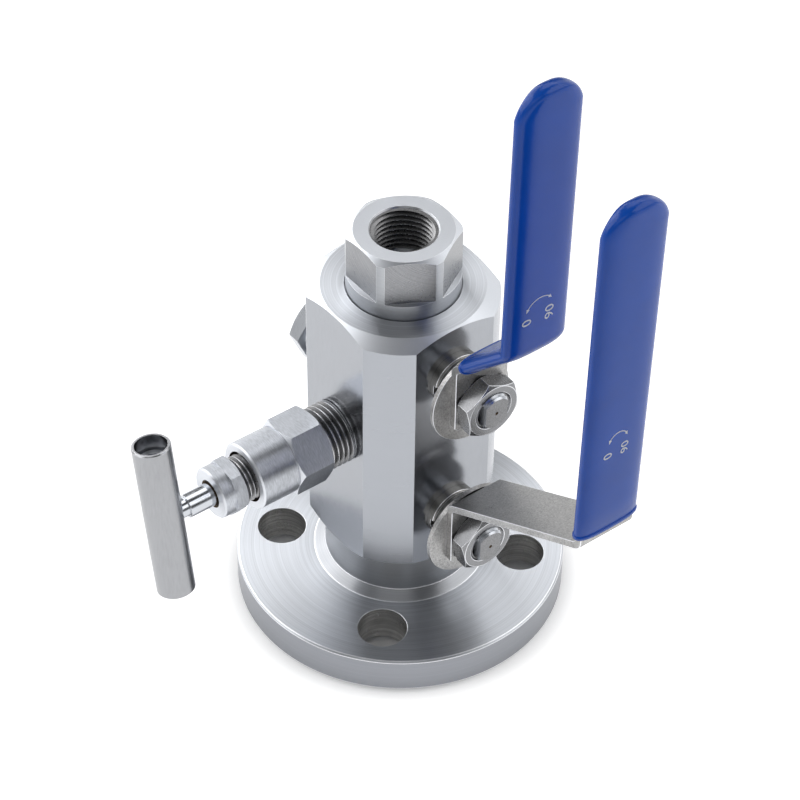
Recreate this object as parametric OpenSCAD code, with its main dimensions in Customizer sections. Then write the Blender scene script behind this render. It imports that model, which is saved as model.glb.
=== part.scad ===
// Double block and bleed valve: two ball valves in line, and a needle valve that bleeds the space between.
// Origin: centre of the flange's raised face. +Z: along the flow, from the flange to the threaded end.
// +X: side of the two ball valve stems. -Y: side of the bleed needle valve. -X: side of the vent plug.

/* [Flange end] */
// Outside diameter of the flange
flange_d = 108; // [104:1:125]
// Thickness of the flange rim, without the raised face
flange_t = 13.2; // [11:0.1:18]
// Diameter of the raised face
raised_face_d = 50.8; // [46:0.1:54]
// Height of the raised face
raised_face_h = 1.6; // [1:0.1:3]
// Diameter of the bolt circle
bolt_circle_d = 79.4; // [77:0.1:83]
// Diameter of a bolt hole
bolt_hole_d = 15.9; // [12:0.1:17]
// Number of bolt holes
bolt_count = 4; // [4:4:8]
// Diameter of the hub where it leaves the flange
hub_d = 56.8; // [53:0.1:59]
// Height of the hub's cone
hub_h = 2.4; // [1:0.1:4]
// Diameter of the neck between the hub and the body
neck_d = 49.4; // [44:0.1:52]
// Length of the neck
neck_h = 13.1; // [8:0.1:25]
// Chamfer of the flange's outer edges
flange_chamfer = 0.6; // [0.2:0.1:1.5]

/* [Body] */
// Diameter of the round bar that the body is made from
body_d = 59.3; // [58:0.1:62]
// Distance across the body's flats
body_af = 51.7; // [50:0.1:53]
// Length of the body
body_h = 96.6; // [95:0.1:104]
// Height of the cone at the body's foot
foot_cone_h = 4.1; // [2:0.1:6]
// Diameter of the body's top face
top_face_d = 50.6; // [46:0.1:54]
// Height of the cone at the body's top
top_cone_h = 2.9; // [1:0.1:5]
// Diameter of the flow bore
flow_d = 14; // [10:0.1:14.4]
// Diameter of the cavity round each ball
cavity_d = 30; // [29.6:0.1:31]
// Width of the seal land between a ball cavity and its end piece's thread
seal_land = 3; // [2.8:0.1:4]
// Height of the lower stem above the body's foot
lower_stem_h = 20.35; // [19:0.05:22]
// Depth of the upper stem below the body's top
upper_stem_depth = 18.95; // [18:0.05:21]

/* [Threaded end] */
// Diameter of the threaded end piece
end_d = 35.3; // [33:0.1:35.4]
// Distance across its wrench flats
end_af = 31.8; // [29:0.1:33]
// Height of the threaded end above the body
end_h = 20.9; // [17:0.1:30]
// Height of the round collar under the flats
end_collar_h = 5.4; // [3:0.1:8]
// Diameter of the end's top face
end_face_d = 30.8; // [28:0.1:32]
// Height of the chamfer at the end's top
end_chamfer_h = 1.3; // [0.6:0.1:3]
// Diameter of the tapped port
port_d = 20.6; // [16:0.1:22]
// Depth of the tapped port
port_depth = 16; // [10:0.1:17]
// Chamfer at the port's mouth
port_chamfer = 0.4; // [0.2:0.1:1.5]

/* [Balls and seats] */
// Diameter of a ball
ball_d = 26; // [25.4:0.1:26.4]
// Distance from a ball's centre to the back of its seats
seat_reach = 12; // [11.8:0.1:12.6]
// Thickness of a seat ring
seat_t = 4.2; // [3:0.1:4.6]
// Gap between a ball and its seats
seat_gap = 0.15; // [0.1:0.05:0.3]
// Thickness of the seal rings at the two end pieces
end_seal_t = 0.9; // [0.5:0.1:1.5]
// Width of the ball's drive slot
slot_w = 5; // [4:0.1:6]
// Distance from a ball's centre to the floor of its slot
slot_floor = 8.8; // [8.2:0.1:9.6]

/* [Ball valve stems] */
// Diameter of a stem
stem_d = 12; // [10:0.1:12.6]
// Distance across the flats that drive the lever
stem_flats = 8; // [6.5:0.1:9]
// Distance from the flow axis to the stem's outer end
stem_reach = 46.5; // [45:0.1:52]
// Diameter of the shoulder that keeps the stem in
shoulder_d = 15; // [14:0.1:16]
// Thickness of that shoulder
shoulder_t = 2.4; // [1.5:0.1:2.8]
// Thickness of the thrust washer
thrust_t = 0.8; // [0.5:0.1:1.2]
// Thickness of the wall that the washer bears on
stem_wall_t = 1.1; // [0.8:0.1:1.5]
// Thickness of the stem packing
packing_t = 3; // [2:0.1:3.4]
// Outside diameter of the stem packing
packing_d = 16.6; // [15.6:0.1:17]
// Thickness of the follower ring
follower_t = 1; // [0.6:0.1:1.5]
// Thread diameter of the stem's gland nut
gland_d = 18; // [17.6:0.1:19]
// How far the gland nut stands out of the flat
gland_proud = 2.85; // [1.5:0.05:4]
// Diameter of the stop disc
stop_disc_d = 32.4; // [30:0.1:34]
// Thickness of the stop disc
stop_disc_t = 1.5; // [1:0.1:2.5]
// Diameter of the disc's floor in the stop notch
stop_notch_d = 24.8; // [23:0.1:26]
// Diameter of the stop pin
stop_pin_d = 4; // [3:0.1:5]
// Angle of the stop pin round the stem
stop_pin_angle = -44; // [-50:1:-38]

/* [Levers] */
// Width of the lever strap
strap_w = 19.5; // [17:0.1:20.5]
// Thickness of the lever strap
strap_t = 2.5; // [2:0.1:3]
// Distance from the flow axis to the back of the lever plates
lever_x = 36.5; // [36:0.1:38]
// Length of the plate below the stem
plate_drop = 8.2; // [7.6:0.1:12]
// Height of the first bend above the stem
bend_h = 16.3; // [14:0.1:20]
// Radius of the bends along the strap's middle
bend_r = 3.2; // [2:0.1:5]
// Distance from the flow axis to the back of the lower grip
lower_grip_x = 95.2; // [85:0.1:110]
// Slope of the lower lever's web
lower_web_angle = 29.6; // [20:0.1:45]
// Length of bare strap between the lower lever's second bend and its grip
lower_bare_l = 4.8; // [2:0.1:30]
// Distance from the flow axis to the back of the upper grip
upper_grip_x = 59.4; // [56:0.1:66]
// Slope of the upper lever's web
upper_web_angle = 45; // [30:1:55]
// Length of bare strap between the upper lever's first bend and its grip
upper_bare_l = 5.6; // [5:0.1:12]
// Lean of both grips away from the body
grip_lean = 0.7; // [0:0.1:2]
// How much larger than half the width the radius of the strap's end is
end_flatten = 0.45; // [0.1:0.05:3]

/* [Grips] */
// Length of a vinyl grip along the strap
grip_len = 118.5; // [90:0.1:119]
// Wall of the grip
grip_wall = 1.4; // [1:0.1:2]
// Radius of the grip's long edges
grip_edge_r = 1.9; // [1.2:0.1:2.4]

/* [Lever nuts] */
// Distance across the flats of a lever nut
lever_nut_af = 18; // [16:0.1:19]
// Thickness of a lever nut
lever_nut_t = 6; // [4:0.1:6.5]

/* [Bleed valve] */
// Distance across the flats of the bonnet and the vent plug
bonnet_af = 22; // [20.8:0.1:24]
// Diameter of the bonnet's round outer part
bonnet_d = 22; // [20:0.1:24]
// Diameter of the pipe threads in the body's two side ports
side_thread_d = 20.8; // [19:0.1:21]
// Length of the pipe thread that shows between body and hex
bonnet_gap = 8.15; // [5:0.05:12]
// Length of the bonnet's hex
bonnet_hex_l = 12.7; // [8:0.1:16]
// Length of the bonnet's round part
bonnet_round_l = 13.1; // [11:0.1:20]
// Depth of the pipe thread in the body
side_thread_depth = 9.85; // [8:0.05:10.5]
// Diameter of the bleed stem
bleed_stem_d = 7.5; // [6:0.1:8]
// Diameter of the bleed stem's thread
bleed_thread_d = 10; // [9:0.1:11]
// Lead of the bleed stem's thread
bleed_lead = 1.25; // [1:0.05:1.5]
// Turns from shut to open
bleed_turns = 4; // [2:1:4]
// Diameter of the needle
needle_d = 7; // [6:0.1:7.4]
// Diameter of the orifice that the needle shuts
orifice_d = 5; // [3:0.1:5.6]
// Distance across the flats of the bleed gland nut
gland_nut_af = 16.5; // [15.6:0.1:18]
// Thread diameter of the bleed gland nut
gland_nut_thread_d = 15; // [14:0.1:15.2]
// Diameter of its round collar
gland_collar_d = 16.6; // [15:0.1:17]
// Gap between the gland nut's hex and the bonnet
gland_gap = 3.9; // [2:0.1:6]
// Length of the gland nut's hex
gland_hex_l = 4.3; // [3:0.1:7]
// Length of its round collar
gland_collar_l = 4.2; // [2:0.1:6]

/* [T-bar] */
// Distance from the flow axis to the T-bar
tbar_y = 89; // [88:0.1:98]
// Diameter of the T-bar
tbar_d = 12; // [11.4:0.1:14]
// Length of the T-bar
tbar_l = 54.6; // [44:0.1:80]
// Lean of the T-bar from upright as the valve rests
tbar_lean = -9.2; // [-30:0.1:30]
// Diameter of the tapped hole along the T-bar
tbar_bore_d = 10.1; // [8:0.1:10.4]
// Depth of the set screw under the T-bar's end
tbar_screw_depth = 5; // [2:0.1:10]
// Distance across the flats of the set screw's socket
tbar_socket_af = 5; // [4:0.1:6]

/* [Vent plug] */
// Distance from the body's flat to the plug's hex
plug_gap = 13.35; // [8:0.05:16]
// Length of the plug's hex
plug_hex_l = 5.6; // [4:0.1:10]
// Diameter of the drilled way from the needle to the vent
vent_d = 4; // [2.5:0.1:4.4]

/* [Hidden] */
$fn = 72;

// Clearances
thread_gap = 0.05;
fit_gap = 0.05;
seat_fit = 0.1;
end_play = 0.2;
free_gap = 0.3;

// How far a cutter runs past what it cuts, and how far joined rounds run into each other
over = 1;
sliver = 0.01;
join = 0.5;

// Turns and steps
lever_turn = 90;
lower_nut_turn = 10;
upper_nut_turn = 8;
bonnet_turn = 7.5;
gland_nut_turn = 55.5;
plug_turn = 6.5;
bend_steps = 8;
edge_steps = 3;
tip_rings = 9;
grip_rings = 26;

// Share of a hexagon's width that a chamfered end's round face keeps
hex_face = 0.98;

// Colours
body_steel = "#c3c8d0";
turned_steel = "#b4b8be";
lever_steel = "#96989c";
soft_white = "#eceae4";
grip_blue = "#2f52a0";

// Levels along the flow
rim_top = raised_face_h + flange_t;
hub_top = rim_top + hub_h;
body_foot = hub_top + neck_h;
body_top = body_foot + body_h;
end_top = body_top + end_h;
lower_z = body_foot + lower_stem_h;
upper_z = body_top - upper_stem_depth;
bleed_z = (lower_z + upper_z) / 2;
flat = body_af / 2;
joint_thread_d = cavity_d + 2 * seal_land;

// Places along a stem, counted from the flow axis
ball_r = ball_d / 2;
tang_x = slot_floor + free_gap;
shoulder_x = ball_r + end_play;
thrust_x = shoulder_x + shoulder_t;
stem_wall_x = thrust_x + thrust_t;
packing_x = stem_wall_x + stem_wall_t;
follower_x = packing_x + packing_t;
gland_x = follower_x + follower_t;
stop_disc_x = lever_x - stop_disc_t;
lever_nut_x = lever_x + strap_t;
stop_pin_r = (stop_notch_d + stop_pin_d) / 2 + free_gap;
stop_pin_half = asin(stop_pin_d / 2 / stop_pin_r);
stop_margin = 0.6;
stop_pin_depth = 5;
stop_pin_in = flat - stop_pin_depth;
stop_pin_out = lever_x - free_gap;
slot_l = ball_d + 2 * over;
strap_end_r = strap_w / 2 + end_flatten;

// Places along the bleed valve, counted from the flow axis
bonnet_in = flat - side_thread_depth;
bonnet_hex_y = flat + bonnet_gap;
bonnet_round_y = bonnet_hex_y + bonnet_hex_l;
bonnet_face = bonnet_round_y + bonnet_round_l;
gland_hex_y = bonnet_face + gland_gap;
gland_collar_y = gland_hex_y + gland_hex_l;
gland_face = gland_collar_y + gland_collar_l;
gland_shank_l = 8.7;
bleed_packing_t = 3;
bleed_follower_t = 1;
gland_in = gland_hex_y - gland_shank_l;
bleed_packing_y = gland_in - bleed_follower_t - bleed_packing_t;
bleed_wall_t = 1;
bleed_travel = bleed_lead * bleed_turns;
bleed_thread_l = 10.5;
bleed_thread_y = bleed_packing_y - bleed_wall_t - bleed_travel - free_gap - bleed_thread_l;
needle_back = bleed_thread_y - seat_fit;
chamber_l = 3.8;
chamber_d = 15;
seat_cone_l = 1.2;
seat_y = bonnet_in - chamber_l - seat_cone_l;
needle_tip_l = 3;
orifice_r = orifice_d / 2;
needle_r = needle_d / 2;
needle_gap = 0.14;
needle_cone_y = seat_y + needle_r - orifice_r + needle_gap;
neck_out = 1.8;
neck_y = tbar_y - tbar_d / 2 - neck_out;
neck_r = 3;
pivot_r = 2;
pivot_l = 4;

// Vent way, drilled from the plug's port into the needle's chamber
plug_in = flat - side_thread_depth;
plug_room = 2;
vent_floor = plug_in - plug_room;
vent_side = 4.4;
vent_end_x = 5.2;
vent_end_in = 1.6;
vent_from = [-plug_in, -vent_side];
vent_to = [-vent_end_x, vent_end_in - bonnet_in];

// Round bars along each axis, from one place to another
module bar_z(from, to, r, r_end = undef) {
    translate([0, 0, from])
        cylinder(h = to - from, r1 = r, r2 = is_undef(r_end) ? r : r_end);
}

module bar_x(from, to, r, r_end = undef) {
    rotate([0, 90, 0])
        bar_z(from, to, r, r_end);
}

// Lies along -Y, with places counted away from the flow axis
module bar_out(from, to, r, r_end = undef) {
    rotate([90, 0, 0])
        bar_z(from, to, r, r_end);
}

module ring_z(from, to, r_out, r_in) {
    difference() {
        bar_z(from, to, r_out);
        bar_z(from - over, to + over, r_in);
    }
}

module ring_x(from, to, r_out, r_in) {
    rotate([0, 90, 0])
        ring_z(from, to, r_out, r_in);
}

module ring_out(from, to, r_out, r_in) {
    rotate([90, 0, 0])
        ring_z(from, to, r_out, r_in);
}

// Hexagon of a given width across flats, with an end's corners turned off where asked
module hex_z(from, to, af, low_chamfer, high_chamfer) {
    wide_r = af / sqrt(3) + over;
    face_r = af / 2 * hex_face;
    rise = (wide_r - face_r) * tan(30);
    intersection() {
        translate([0, 0, from])
            cylinder(h = to - from, r = af / sqrt(3), $fn = 6);
        rotate_extrude()
            polygon(concat(
                [[0, from]],
                low_chamfer ? [[face_r, from], [wide_r, from + rise]] : [[wide_r, from]],
                high_chamfer ? [[wide_r, to - rise], [face_r, to]] : [[wide_r, to]],
                [[0, to]]
            ));
    }
}

// Body: round bar with four flats, bored from both ends
module body_blank() {
    intersection() {
        rotate_extrude()
            polygon([
                [0, body_foot], [neck_d / 2, body_foot],
                [body_d / 2, body_foot + foot_cone_h], [body_d / 2, body_top - top_cone_h],
                [top_face_d / 2, body_top], [0, body_top]
            ]);
        translate([-flat, -flat, body_foot - over])
            cube([body_af, body_af, body_h + 2 * over]);
    }
}

module stem_bores() {
    bar_x(0, stem_wall_x, shoulder_d / 2 + free_gap);
    bar_x(0, flat + over, stem_d / 2 + free_gap);
    bar_x(packing_x, flat + over, packing_d / 2 + thread_gap);
    bar_x(gland_x - end_play, flat + over, gland_d / 2 + thread_gap);
    stop_pin_place()
        bar_x(stop_pin_in, flat + over, stop_pin_d / 2);
}

module side_port() {
    bar_out(bonnet_in - free_gap, flat + over, side_thread_d / 2 + thread_gap);
}

module vent_way() {
    step = vent_to - vent_from;
    way_l = norm(step);
    translate([vent_from[0], vent_from[1], 0])
        rotate([0, 0, atan2(step[1], step[0])])
            bar_x(-over, way_l, vent_d / 2);
}

module valve_body() {
    color(body_steel)
        difference() {
            body_blank();
            bar_z(body_foot - over, body_top + over, flow_d / 2);
            for (z = [lower_z, upper_z])
                bar_z(z - seat_reach, z + seat_reach, cavity_d / 2);
            bar_z(body_foot - over, lower_z - seat_reach, joint_thread_d / 2);
            bar_z(upper_z + seat_reach, body_top + over, joint_thread_d / 2);
            for (z = [lower_z, upper_z])
                translate([0, 0, z])
                    stem_bores();
            translate([0, 0, bleed_z]) {
                side_port();
                bar_out(seat_y + seat_cone_l, bonnet_in, chamber_d / 2);
                bar_out(seat_y, seat_y + seat_cone_l + sliver, orifice_r, orifice_r + seat_cone_l + sliver);
                bar_out(0, seat_y + over, orifice_r);
                rotate([0, 0, -90])
                    bar_out(vent_floor, flat + over, side_thread_d / 2 + thread_gap);
                vent_way();
            }
        }
}

// Flanged end piece: flange, hub and neck in one, with a thread that holds it in the body
module flange_connector() {
    nose = lower_z - seat_reach;
    rim = flange_d / 2;
    color(body_steel)
        difference() {
            rotate_extrude()
                polygon([
                    [flow_d / 2, 0], [raised_face_d / 2, 0], [raised_face_d / 2, raised_face_h],
                    [rim - flange_chamfer, raised_face_h], [rim, raised_face_h + flange_chamfer],
                    [rim, rim_top - flange_chamfer], [rim - flange_chamfer, rim_top],
                    [hub_d / 2, rim_top], [neck_d / 2, hub_top], [neck_d / 2, body_foot],
                    [joint_thread_d / 2 - thread_gap, body_foot],
                    [joint_thread_d / 2 - thread_gap, nose - end_seal_t],
                    [cavity_d / 2 - thread_gap, nose - end_seal_t],
                    [cavity_d / 2 - thread_gap, nose], [flow_d / 2, nose]
                ]);
            for (i = [0 : bolt_count - 1])
                rotate([0, 0, (i + 0.5) * 360 / bolt_count])
                    translate([bolt_circle_d / 2, 0, 0])
                        bar_z(-over, rim_top + over, bolt_hole_d / 2);
        }
}

// Threaded end piece: round, with six wrench flats and a tapped port
module end_connector() {
    nose = upper_z + seat_reach;
    step = body_top - over;
    color(body_steel)
        difference() {
            rotate_extrude()
                polygon([
                    [flow_d / 2, nose], [cavity_d / 2 - thread_gap, nose],
                    [cavity_d / 2 - thread_gap, nose + end_seal_t],
                    [joint_thread_d / 2 - thread_gap, nose + end_seal_t],
                    [joint_thread_d / 2 - thread_gap, step], [end_d / 2, step],
                    [end_d / 2, end_top - end_chamfer_h], [end_face_d / 2, end_top],
                    [port_d / 2 + port_chamfer, end_top], [port_d / 2, end_top - port_chamfer],
                    [port_d / 2, end_top - port_depth],
                    [flow_d / 2, end_top - port_depth - (port_d - flow_d) / 2]
                ]);
            for (i = [0 : 5])
                rotate([0, 0, 30 + i * 60])
                    translate([end_af / 2, -end_d, body_top + end_collar_h])
                        cube([end_d, 2 * end_d, end_h]);
        }
}

module flange_seal() {
    color(soft_white)
        ring_z(lower_z - seat_reach - end_seal_t, lower_z - seat_reach,
            joint_thread_d / 2 - thread_gap, cavity_d / 2);
}

module end_seal() {
    color(soft_white)
        ring_z(upper_z + seat_reach, upper_z + seat_reach + end_seal_t,
            joint_thread_d / 2 - thread_gap, cavity_d / 2);
}

// Ball and seat, about the ball's centre. The outlet seat lies above the ball and the inlet seat below it.
module ball() {
    color(turned_steel)
        difference() {
            sphere(r = ball_r);
            bar_z(-ball_d, ball_d, flow_d / 2);
            translate([slot_floor, -slot_l / 2, -slot_w / 2])
                cube([ball_d, slot_l, slot_w]);
        }
}

module seat(side) {
    color(soft_white)
        mirror([0, 0, side == "inlet" ? 1 : 0])
            difference() {
                ring_z(seat_reach - seat_t, seat_reach, cavity_d / 2 - seat_fit, flow_d / 2 + end_play);
                sphere(r = ball_r + seat_gap);
            }
}

// Stem parts, about the stem's axis
module stem_flats_cut(gap) {
    intersection() {
        children();
        translate([0, -stem_flats / 2 - gap, -stem_d])
            cube([stem_reach + stem_d, stem_flats + 2 * gap, 2 * stem_d]);
    }
}

module stem() {
    tang_w = slot_w - end_play;
    tang_short = 1;
    tang_l = stem_d - tang_short;
    point = 0.8;
    color(turned_steel)
        union() {
            translate([tang_x, -tang_l / 2, -tang_w / 2])
                cube([shoulder_x + join - tang_x, tang_l, tang_w]);
            bar_x(shoulder_x, thrust_x, shoulder_d / 2);
            bar_x(thrust_x - join, stop_disc_x, stem_d / 2);
            stem_flats_cut(0)
                union() {
                    bar_x(stop_disc_x - join, stem_reach - point, stem_d / 2);
                    bar_x(stem_reach - point, stem_reach, stem_d / 2, stem_d / 2 - point);
                }
        }
}

module thrust_washer() {
    color(soft_white)
        ring_x(thrust_x, stem_wall_x, shoulder_d / 2, stem_d / 2 + fit_gap);
}

module packing() {
    color(soft_white)
        ring_x(packing_x, follower_x, packing_d / 2, stem_d / 2 + fit_gap);
}

module follower() {
    color(turned_steel)
        ring_x(follower_x, gland_x, packing_d / 2, stem_d / 2 + free_gap);
}

module gland_nut() {
    slot = 3;
    slot_deep = 1.4;
    face = flat + gland_proud;
    chamfer = 0.5;
    color(turned_steel)
        difference() {
            union() {
                bar_x(gland_x, face - chamfer, gland_d / 2);
                bar_x(face - chamfer, face, gland_d / 2, gland_d / 2 - chamfer);
            }
            bar_x(gland_x - over, face + over, stem_d / 2 + free_gap);
            translate([face - slot_deep, -gland_d, -slot / 2])
                cube([slot_deep + over, 2 * gland_d, slot]);
        }
}

// Stop disc: a round disc with a notch that lets the pin pass a quarter turn
module stop_disc() {
    low = stop_pin_angle - stop_pin_half - stop_margin;
    high = stop_pin_angle + lever_turn + stop_pin_half + stop_margin;
    reach = stop_disc_d;
    color(lever_steel)
        difference() {
            bar_x(stop_disc_x, lever_x, stop_disc_d / 2);
            stem_flats_cut(fit_gap)
                bar_x(stop_disc_x - over, lever_x + over, stem_d / 2 + fit_gap);
            difference() {
                translate([stop_disc_x - over, 0, 0])
                    rotate([90, 0, 90])
                        linear_extrude(height = stop_disc_t + 2 * over)
                            polygon(concat(
                                [[0, 0]],
                                [for (i = [0 : 6]) reach * [cos(low + (high - low) * i / 6),
                                    sin(low + (high - low) * i / 6)]]
                            ));
                bar_x(stop_disc_x - 2 * over, lever_x + 2 * over, stop_notch_d / 2);
            }
        }
}

module stop_pin_place() {
    rotate([stop_pin_angle, 0, 0])
        translate([0, stop_pin_r, 0])
            children();
}

module stop_pin() {
    r = stop_pin_d / 2;
    chamfer = 0.4;
    color(lever_steel)
        stop_pin_place()
            union() {
                bar_x(stop_pin_in, stop_pin_out - chamfer, r);
                bar_x(stop_pin_out - chamfer, stop_pin_out, r, r - chamfer);
            }
}

// Strap path in the lever's side view: each entry is a place and the heading there.
// Headings are in degrees from +X, and 90 is straight up.
function heading(a) = [cos(a), sin(a)];
function left_of(a) = [-sin(a), cos(a)];

// Place reached by an arc that starts at p with heading a and ends with heading b
function arc_to(p, a, b, r, side) = p + side * r * (left_of(a) - left_of(b));

function arc_steps(p, a, b, r, side, count) =
    [for (i = [0 : count]) let (c = a + (b - a) * i / count) [arc_to(p, a, c, r, side), c]];

// Places where the strap's straight middle lines would meet, and the heights of the levers' ends
function first_corner_z(web) = bend_h - strap_t / 2 * tan((90 - web) / 2);
function web_run(web, grip_x) = (grip_x - lever_x) / cos(web);
function second_corner_z(web, grip_x) = first_corner_z(web) + web_run(web, grip_x) * sin(web);

lower_reach = second_corner_z(lower_web_angle, lower_grip_x)
    + (lower_bare_l + grip_len - grip_wall) * cos(grip_lean);
upper_reach = second_corner_z(upper_web_angle, upper_grip_x)
    + (upper_bare_l + grip_len - grip_wall - web_run(upper_web_angle, upper_grip_x)) * cos(grip_lean);

function strap_path(web, grip_x, reach) =
    let (
        mid = lever_x + strap_t / 2,
        up = 90,
        grip = 90 - grip_lean,
        trim_1 = bend_r * tan((up - web) / 2),
        trim_2 = bend_r * tan((grip - web) / 2),
        corner_1 = [mid, first_corner_z(web)],
        corner_2 = corner_1 + web_run(web, grip_x) * heading(web),
        from_1 = corner_1 - trim_1 * heading(up),
        from_2 = corner_2 - trim_2 * heading(web),
        end_l = (reach - corner_2[1]) / cos(grip_lean)
    )
    concat(
        [[[mid, -plate_drop], up]],
        arc_steps(from_1, up, web, bend_r, -1, bend_steps),
        arc_steps(from_2, web, grip, bend_r, 1, bend_steps),
        [[corner_2 + end_l * heading(grip), grip]]
    );

lower_path = strap_path(lower_web_angle, lower_grip_x, lower_reach);
upper_path = strap_path(upper_web_angle, upper_grip_x, upper_reach);

// Outline seen from the front: straight sides and a shallow round end
module strap_front(reach, w, end_r) {
    half = w / 2;
    foot_r = 1.2;
    difference() {
        translate([-half, -plate_drop])
            square([w, reach + plate_drop]);
        translate([-half - over, reach - end_r])
            difference() {
                square([w + 2 * over, end_r + over]);
                translate([half + over, 0])
                    circle(r = end_r);
            }
        for (side = [-1, 1])
            translate([side * half, -plate_drop])
                rotate([0, 0, 45])
                    square(foot_r * sqrt(2), center = true);
    }
}

// The strap: its side view extruded across the width, cut to its outline from the front
module strap_solid(path) {
    count = len(path) - 1;
    intersection() {
        rotate([90, 0, 0])
            linear_extrude(height = strap_w, center = true)
                polygon(concat(
                    [for (i = [0 : count]) path[i][0] + strap_t / 2 * left_of(path[i][1])],
                    [for (i = [count : -1 : 0]) path[i][0] - strap_t / 2 * left_of(path[i][1])]
                ));
        rotate([90, 0, 90])
            linear_extrude(height = path[count][0][0] + strap_t + over)
                strap_front(path[count][0][1], strap_w, strap_end_r);
    }
}

module lever(path) {
    color(lever_steel)
        difference() {
            strap_solid(path);
            stem_flats_cut(fit_gap)
                bar_x(lever_x - over, lever_nut_x + over, stem_d / 2 + fit_gap);
        }
}

// Grip: a dipped vinyl sleeve that follows the strap from its end down to the grip's mouth.
// Its rings are rounded rectangles set along the same path as the strap.
function ring_points(half_w, half_t, r) =
    [for (corner = [0 : 3], i = [0 : edge_steps])
        let (a = corner * 90 + i * 90 / edge_steps, sx = (corner == 0 || corner == 3) ? 1 : -1,
            sy = corner < 2 ? 1 : -1)
        [sx * (half_w - r) + r * cos(a), sy * (half_t - r) + r * sin(a)]];

function path_lengths(path, i = 0, sum = 0) =
    i >= len(path) - 1 ? [sum]
    : concat([sum], path_lengths(path, i + 1, sum + norm(path[i + 1][0] - path[i][0])));

// Place and heading at a distance along the path
function path_at(path, lengths, s, i = 0) =
    (i >= len(path) - 2 || s <= lengths[i + 1])
        ? let (k = (s - lengths[i]) / (lengths[i + 1] - lengths[i]))
            [path[i][0] + k * (path[i + 1][0] - path[i][0]), path[i][1] + k * (path[i + 1][1] - path[i][1])]
        : path_at(path, lengths, s, i + 1);

// Half width of a grip ring that lies a distance from the rounded tip
function tip_half(half, end_r, d) =
    d >= end_r - sqrt(end_r * end_r - half * half) ? half : sqrt(max(0, end_r * end_r - pow(end_r - d, 2)));

function place_ring(ring, at) =
    [for (p = ring)
        [at[0][0] + p[1] * left_of(at[1])[0], p[0], at[0][1] + p[1] * left_of(at[1])[1]]];

module grip(path) {
    lengths = path_lengths(path);
    strap_l = lengths[len(lengths) - 1];
    full = strap_l + grip_wall;
    mouth = full - grip_len;
    half_w = strap_w / 2 + grip_wall;
    half_t = strap_t / 2 + grip_wall;
    end_r = strap_end_r + grip_wall;
    tip_l = end_r - sqrt(end_r * end_r - half_w * half_w);
    tip_trim = 0.02;
    tip_flat = 0.05;
    tip_thin = 0.55;
    edge_share = 0.95;
    stations = concat(
        [for (i = [0 : grip_rings]) mouth + (full - tip_l - mouth) * i / grip_rings],
        [for (i = [1 : tip_rings]) full - tip_l * pow(1 - i / tip_rings, 2) - tip_trim]
    );
    rings = [for (s = stations)
        let (d = full - s, w = max(grip_edge_r + tip_flat, tip_half(half_w, end_r, d)),
            t = half_t * (tip_thin + (1 - tip_thin) * sqrt(min(1, d / tip_l))))
        place_ring(ring_points(w, t, min(grip_edge_r, t * edge_share)), path_at(path, lengths, s))];
    sides = len(rings[0]);
    last = len(rings) - 1;
    color(grip_blue)
        difference() {
            polyhedron(
                points = [for (r = rings, p = r) p],
                faces = concat(
                    [[for (i = [0 : sides - 1]) i]],
                    [for (k = [0 : last - 1], i = [0 : sides - 1])
                        [k * sides + i, (k + 1) * sides + i,
                            (k + 1) * sides + (i + 1) % sides, k * sides + (i + 1) % sides]],
                    [[for (i = [sides - 1 : -1 : 0]) last * sides + i]]
                )
            );
            strap_solid(path);
        }
}

module lever_nut(turn) {
    thread_r = stem_d / 2 + thread_gap;
    face = lever_nut_x + lever_nut_t;
    sink = 0.6;
    color(lever_steel)
        difference() {
            rotate([0, 90, 0])
                rotate([0, 0, turn])
                    hex_z(lever_nut_x, face, lever_nut_af, true, true);
            bar_x(lever_nut_x - over, face + over, thread_r);
            bar_x(face - sink, face + sliver, thread_r, thread_r + sink);
        }
}

// Bleed valve parts, about the bleed valve's axis
module bleed_bonnet() {
    mouth_r = 8.4;
    mouth_l = 3;
    shoulder = 0.5;
    color(turned_steel)
        difference() {
            union() {
                bar_out(bonnet_in, bonnet_hex_y + over, side_thread_d / 2);
                rotate([90, 0, 0])
                    rotate([0, 0, bonnet_turn])
                        hex_z(bonnet_hex_y, bonnet_round_y, bonnet_af, true, true);
                bar_out(bonnet_round_y - over, bonnet_face - shoulder, bonnet_d / 2);
                bar_out(bonnet_face - shoulder, bonnet_face, bonnet_d / 2, bonnet_d / 2 - shoulder);
            }
            bar_out(bonnet_in - over, bleed_thread_y + over, needle_r + free_gap);
            bar_out(needle_back - free_gap, bleed_packing_y - bleed_wall_t, bleed_thread_d / 2 + fit_gap);
            bar_out(bleed_thread_y, bonnet_face + over, bleed_stem_d / 2 + free_gap);
            bar_out(bleed_packing_y, bonnet_face + over, gland_nut_thread_d / 2 + thread_gap);
            bar_out(bonnet_face - mouth_l, bonnet_face + over, mouth_r);
        }
}

module bleed_needle() {
    tip_r = needle_r - needle_tip_l;
    color(turned_steel)
        difference() {
            union() {
                bar_out(needle_cone_y, needle_back, needle_r);
                bar_out(needle_cone_y - needle_tip_l, needle_cone_y, tip_r, needle_r);
            }
            bar_out(needle_back - pivot_l - end_play, needle_back + over, pivot_r + fit_gap);
        }
}

module bleed_stem() {
    end_y = tbar_y + neck_r;
    color(turned_steel)
        union() {
            bar_out(bleed_thread_y - pivot_l, bleed_thread_y + over, pivot_r);
            bar_out(bleed_thread_y, bleed_thread_y + bleed_thread_l, bleed_thread_d / 2);
            bar_out(bleed_thread_y + bleed_thread_l - over, neck_y, bleed_stem_d / 2);
            bar_out(neck_y - over, end_y, neck_r);
        }
}

module bleed_packing() {
    color(soft_white)
        ring_out(bleed_packing_y, bleed_packing_y + bleed_packing_t,
            gland_nut_thread_d / 2, bleed_stem_d / 2 + fit_gap);
}

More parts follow.
